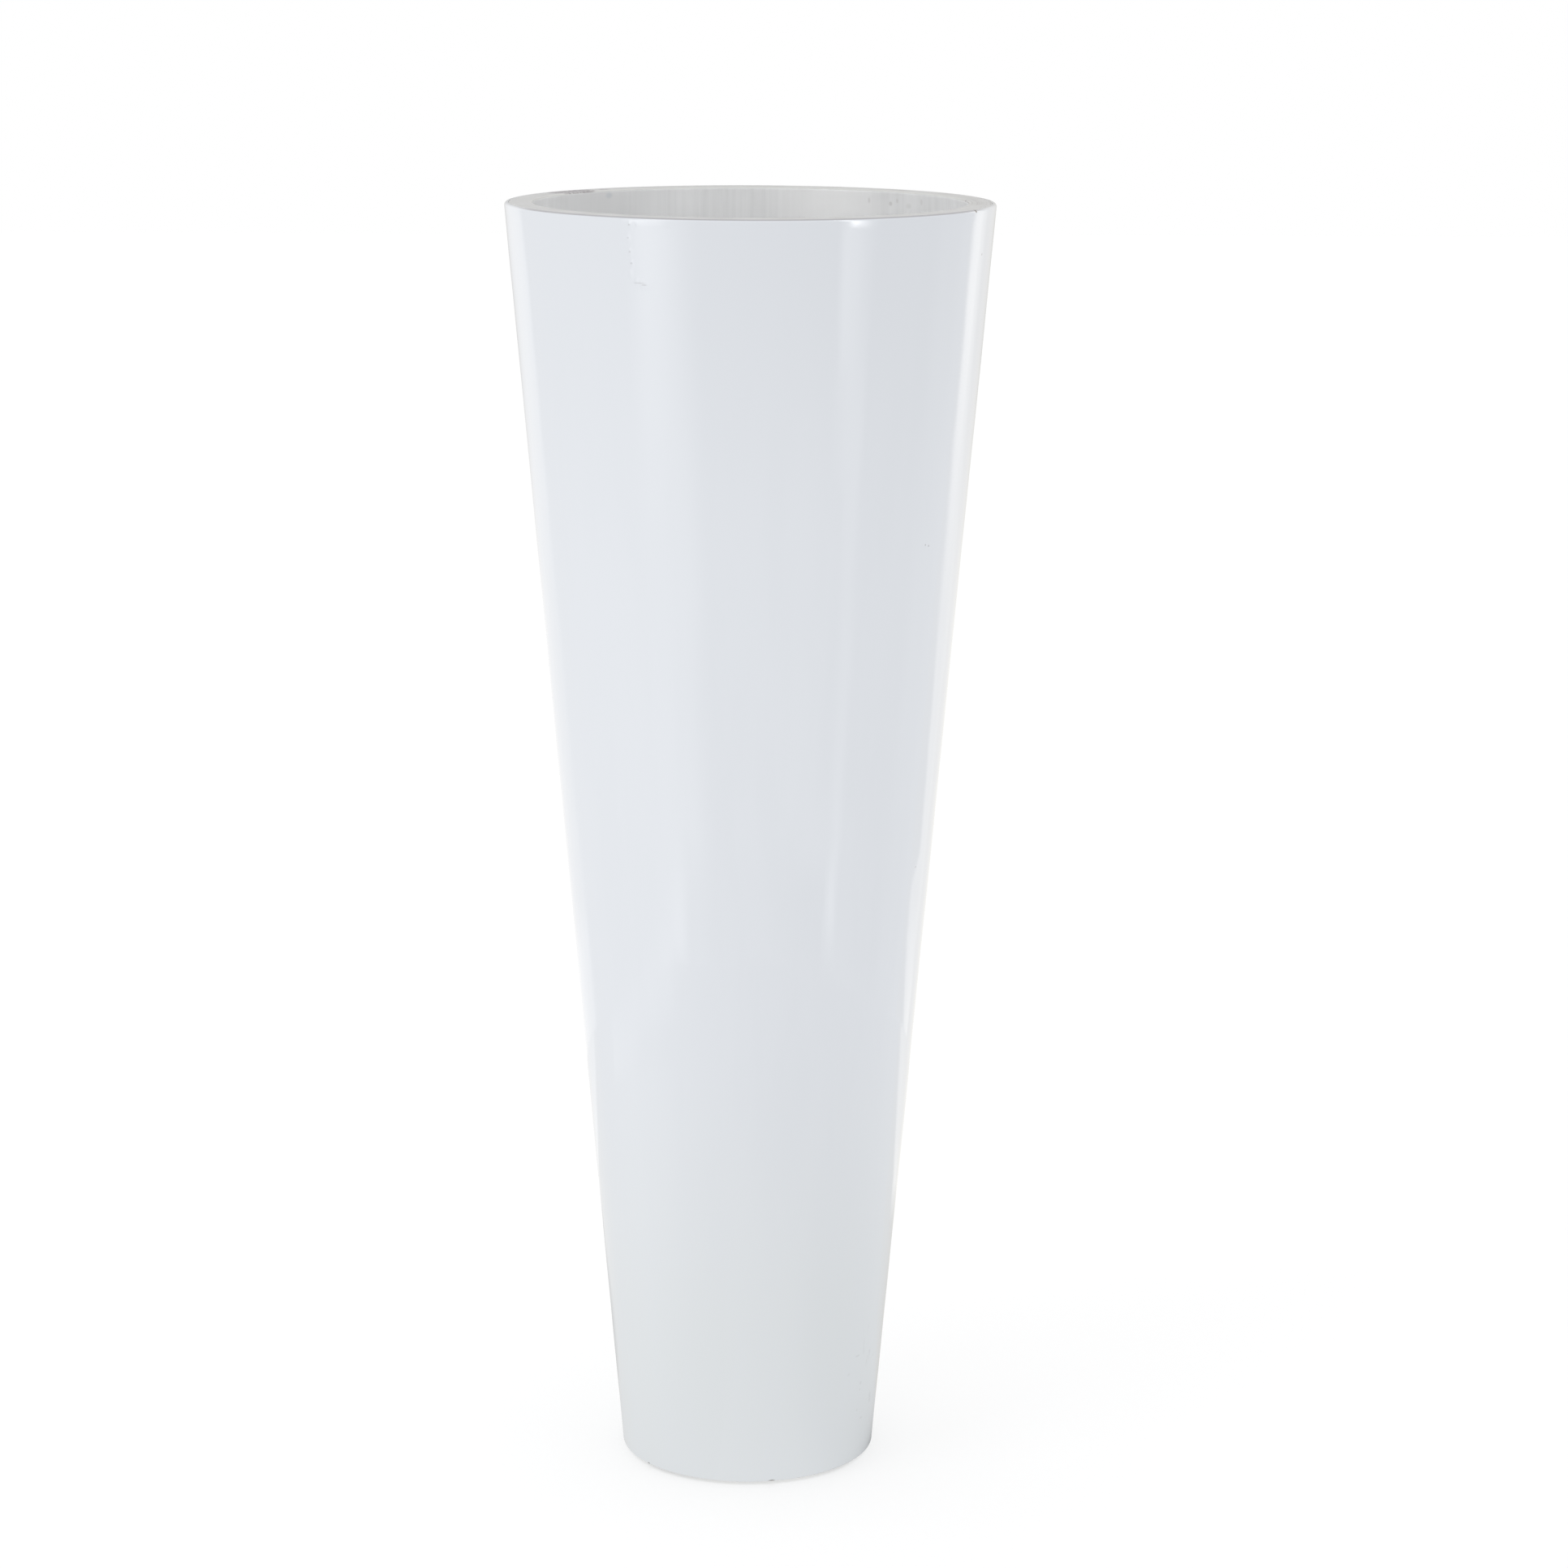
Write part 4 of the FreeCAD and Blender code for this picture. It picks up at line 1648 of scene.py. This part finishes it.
@dataclass(frozen=True)
class Lamp:
    """A soft square lamp, in metres and watts."""

    name: str
    place: Triple
    aim: Triple
    size: float
    power: float

    def hang(self) -> None:
        """Adds the lamp."""
        data = bpy.data.lights.new(self.name, "AREA")
        data.size = self.size
        data.energy = self.power
        lamp = bpy.data.objects.new(self.name, data)
        bpy.context.scene.collection.objects.link(lamp)
        way = Vector(self.aim) - Vector(self.place)
        turned = way.to_track_quat("-Z", "Y").to_matrix().to_4x4()
        lamp.matrix_world = Matrix.Translation(self.place) @ turned
        lamp.visible_glossy = False


@dataclass(frozen=True)
class Studio:
    """White floor, white surroundings, a soft lamp and the cards that the gloss mirrors."""

    ambient: Colour = (0.92, 0.92, 0.92)
    floor_size: float = 30.0
    floor_tone: Colour = (0.64, 0.64, 0.64)
    floor_glow: float = 0.42
    lamp: Lamp = Lamp("left_softbox", (-2.3, -1.7, 1.9), (0.0, 0.0, 0.7), 1.6, 6.5)
    wall_cards: tuple[Card, ...] = (
        Card("left_edge", -129.0, -123.0, standing((1.09, 0.96), (1.24, 0.84), foot=(1.26, 0.98))),
        Card("left_wall", -123.0, -58.0, standing((0.96, 1.12), (0.88, 0.95))),
        Card("left_softbox_face", -58.0, -46.0, standing((1.12, 1.20), (0.95, 2.10))),
        Card("left_softbox_edge", -46.0, -20.0, standing(
            (1.20, 1.05, 0.30), (2.10, 0.05), foot=(1.20, 0.62, 0.28),
        )),
        Card("front_dark", -20.0, 56.0, standing(
            (0.30, 0.36, 0.42, 0.30), (0.05, 0.03, 0.0, 0.02), foot=(0.28, 0.22, 0.0, 0.08),
        )),
        Card("right_dark", 56.0, 85.0, standing((0.30, 0.32), (0.02, 0.22))),
        Card("right_wall", 85.0, 117.5, standing((0.32, 0.62, 0.76), (0.22, 0.56, 0.76))),
        Card("right_panel", 117.5, 142.5, standing(
            (0.76, 1.22, 1.14, 1.12, 1.12, 1.02),
            (0.76, 1.82, 1.70, 1.28, 0.97, 0.92),
            foot=(0.76, 1.30, 1.34, 1.26, 1.12, 1.0),
            turns=(12.0, 5.5, 2.8, 2.2, 9.5, 9.5, 4.0, 0.5, 0.0),
        ), WARM),
        Card("back_right", 142.5, 180.0, standing((1.0, 0.95), (0.92, 0.45)), WARM),
        Card("back_left", 180.0, 231.0, standing((1.02, 1.09), (0.45, 1.24), foot=(1.04, 1.22)), NEUTRAL),
    )
    strip_cards: tuple[Card, ...] = (
        Card("right_strip", 46.0, 57.0, upright(
            STRIP_RADIUS,
            (0.03, (0.40, 0.36, 0.32)),
            (0.09, (0.45, 1.60, 0.34)),
            (0.20, (0.42, 0.90, 0.32)),
            (0.50, (0.45, 0.85, 0.30)),
            (0.72, (0.90, 0.85, 0.05)),
            (0.88, (1.20, 0.50, 0.0)),
            (1.8, (1.20, 0.50, 0.0)),
        )),
        Card("right_strip_wing", 38.0, 46.0, upright(
            STRIP_RADIUS,
            (0.62, (0.34, 0.36, 0.65)),
            (0.72, (0.30, 0.60, 0.90)),
            (0.84, (0.20, 1.40, 1.15)),
            (1.8, (0.20, 1.40, 1.15)),
        )),
        Card("right_strip_head", 41.0, 53.0, upright(
            HEAD_RADIUS,
            (1.02, (0.9, 1.3, 1.1, 0.5)),
            (1.12, (1.0, 9.0, 4.0, 1.0)),
            (2.4, (1.0, 9.0, 4.0, 1.0)),
        )),
        Card("left_softbox_head", -56.0, -34.0, upright(
            HEAD_RADIUS,
            (1.02, (0.95, 2.0, 1.6, 0.6)),
            (1.12, (1.5, 4.0, 3.0, 1.0)),
            (2.4, (1.5, 4.0, 3.0, 1.0)),
        )),
        Card("left_sweep", -72.0, -34.0, upright(
            STRIP_RADIUS,
            (0.006, (1.15, 1.40, 1.80, 1.20, 0.55)),
            (0.07, (1.10, 1.15, 1.50, 1.85, 0.55)),
            (0.12, (1.08, 1.10, 1.20, 1.55, 0.60)),
            (0.20, (1.06, 1.10, 1.15, 1.14, 0.80)),
        )),
        Card("left_sweep_floor", -105.0, -50.0, (
            Rung(1.05, SWEEP_LEVEL, (1.00, 1.05, 0.85, 0.65)),
            Rung(1.14, SWEEP_LEVEL, (1.25, 1.25, 0.90, 0.60)),
            Rung(STRIP_RADIUS, SWEEP_LEVEL, (1.05, 1.30, 1.55, 1.50)),
        )),
    )
    floor_cards: tuple[Card, ...] = (
        Card("left_floor", -124.0, -80.0, lying((0.68, 0.70), (0.92, 1.06))),
        Card("left_front_floor", -80.0, -16.0, lying((0.70, 0.50), (1.06, 0.36), (1.02, 0.24))),
        Card("front_floor", -16.0, 56.0, lying((0.62, 0.50, 0.0), (0.36, 0.20, 0.05), (0.24, 0.0, 0.05))),
        Card("right_floor", 56.0, 124.5, lying((0.0, 0.58), (0.10, 0.70), (0.05, 0.74))),
        Card("right_panel_floor", 124.5, 149.5, lying(
            (0.58, 0.58),
            (0.70, 0.70),
            (0.74, 1.18, 1.14, 1.06, 1.0, 1.0),
            (0.0, 0.0, 12.0, 12.0, 6.0, 3.0, 0.0),
        ), WARM),
        Card("back_right_floor", 149.5, 180.0, lying((0.58, 0.58), (0.70, 0.74), (1.0, 0.92)), WARM),
        Card("back_left_floor", 180.0, 206.0, lying((0.56, 0.58), (0.74, 0.72), (0.92, 1.00)), NEUTRAL),
        Card("left_edge_floor", 206.0, 236.0, lying(
            (0.50, 0.52, 0.68),
            (0.62, 0.66, 0.92),
            (1.00, 1.04, 1.08, 1.12, 1.18, 0.92, 0.92),
            (0.0, 0.0, -26.0, -26.0, -13.0, -2.0, 0.0),
        ), NEUTRAL),
    )

    def light_world(self) -> None:
        """Makes the surroundings white where they are seen and an even soft light elsewhere."""
        world = bpy.data.worlds.new("studio")
        bpy.context.scene.world = world
        graph = Graph(world.name, world)
        tone = graph.blend(graph.seen(), self.ambient, WHITE)
        back = graph.add("ShaderNodeBackground", {"Color": tone})
        graph.end(back.outputs["Background"], "ShaderNodeOutputWorld")

    def lay_floor(self) -> None:
        """Lays the white floor, which keeps the vase's shadow and is clear from below."""
        deselect_all()
        bpy.ops.mesh.primitive_plane_add(size=self.floor_size, location=(0, 0, 0))
        floor = bpy.context.object
        floor.name = "studio_floor"
        graph = Graph("studio_floor")
        paper = graph.add("ShaderNodeBsdfDiffuse", {"Color": self.floor_tone}).outputs["BSDF"]
        strength = graph.times(graph.seen(), self.floor_glow)
        glow = graph.add("ShaderNodeEmission", {"Strength": strength}).outputs["Emission"]
        lit = graph.add("ShaderNodeAddShader", {0: paper, 1: glow}).outputs["Shader"]
        clear = graph.add("ShaderNodeBsdfTransparent").outputs["BSDF"]
        below = graph.add("ShaderNodeNewGeometry").outputs["Backfacing"]
        sided = graph.add("ShaderNodeMixShader", {"Fac": below, 1: lit, 2: clear})
        floor.data.materials.append(graph.end(sided.outputs["Shader"]))
        floor.visible_diffuse = False

    def set_up(self) -> None:
        """Sets up the whole studio."""
        self.light_world()
        self.lay_floor()
        self.lamp.hang()
        for card in (*self.wall_cards, *self.strip_cards, *self.floor_cards):
            card.hang()
        bpy.context.scene.view_settings.view_transform = "Standard"


def main() -> None:
    """Builds the vase piece by piece, then the studio."""
    logging.basicConfig(level=logging.INFO, format="%(name)s: %(message)s")
    finishes = Finishes()
    shelf = PlantingShelf(finishes)
    base = WeightedFloor(finishes)
    pieces = [
        OuterShell(finishes).build(),
        Rim(finishes).build(),
        shelf.build_ledge(),
        shelf.build_board(),
        base.build_pan(),
        base.build_weight(),
        base.build_tube(),
        DrainPlug(finishes).build(),
        *FootPads(finishes).build(),
    ]
    for piece in pieces:
        LOG.info("%s: %d faces", piece.name, len(piece.data.polygons))
    Viewpoint().set_up()
    Studio().set_up()


if __name__ == "__main__":
    main()
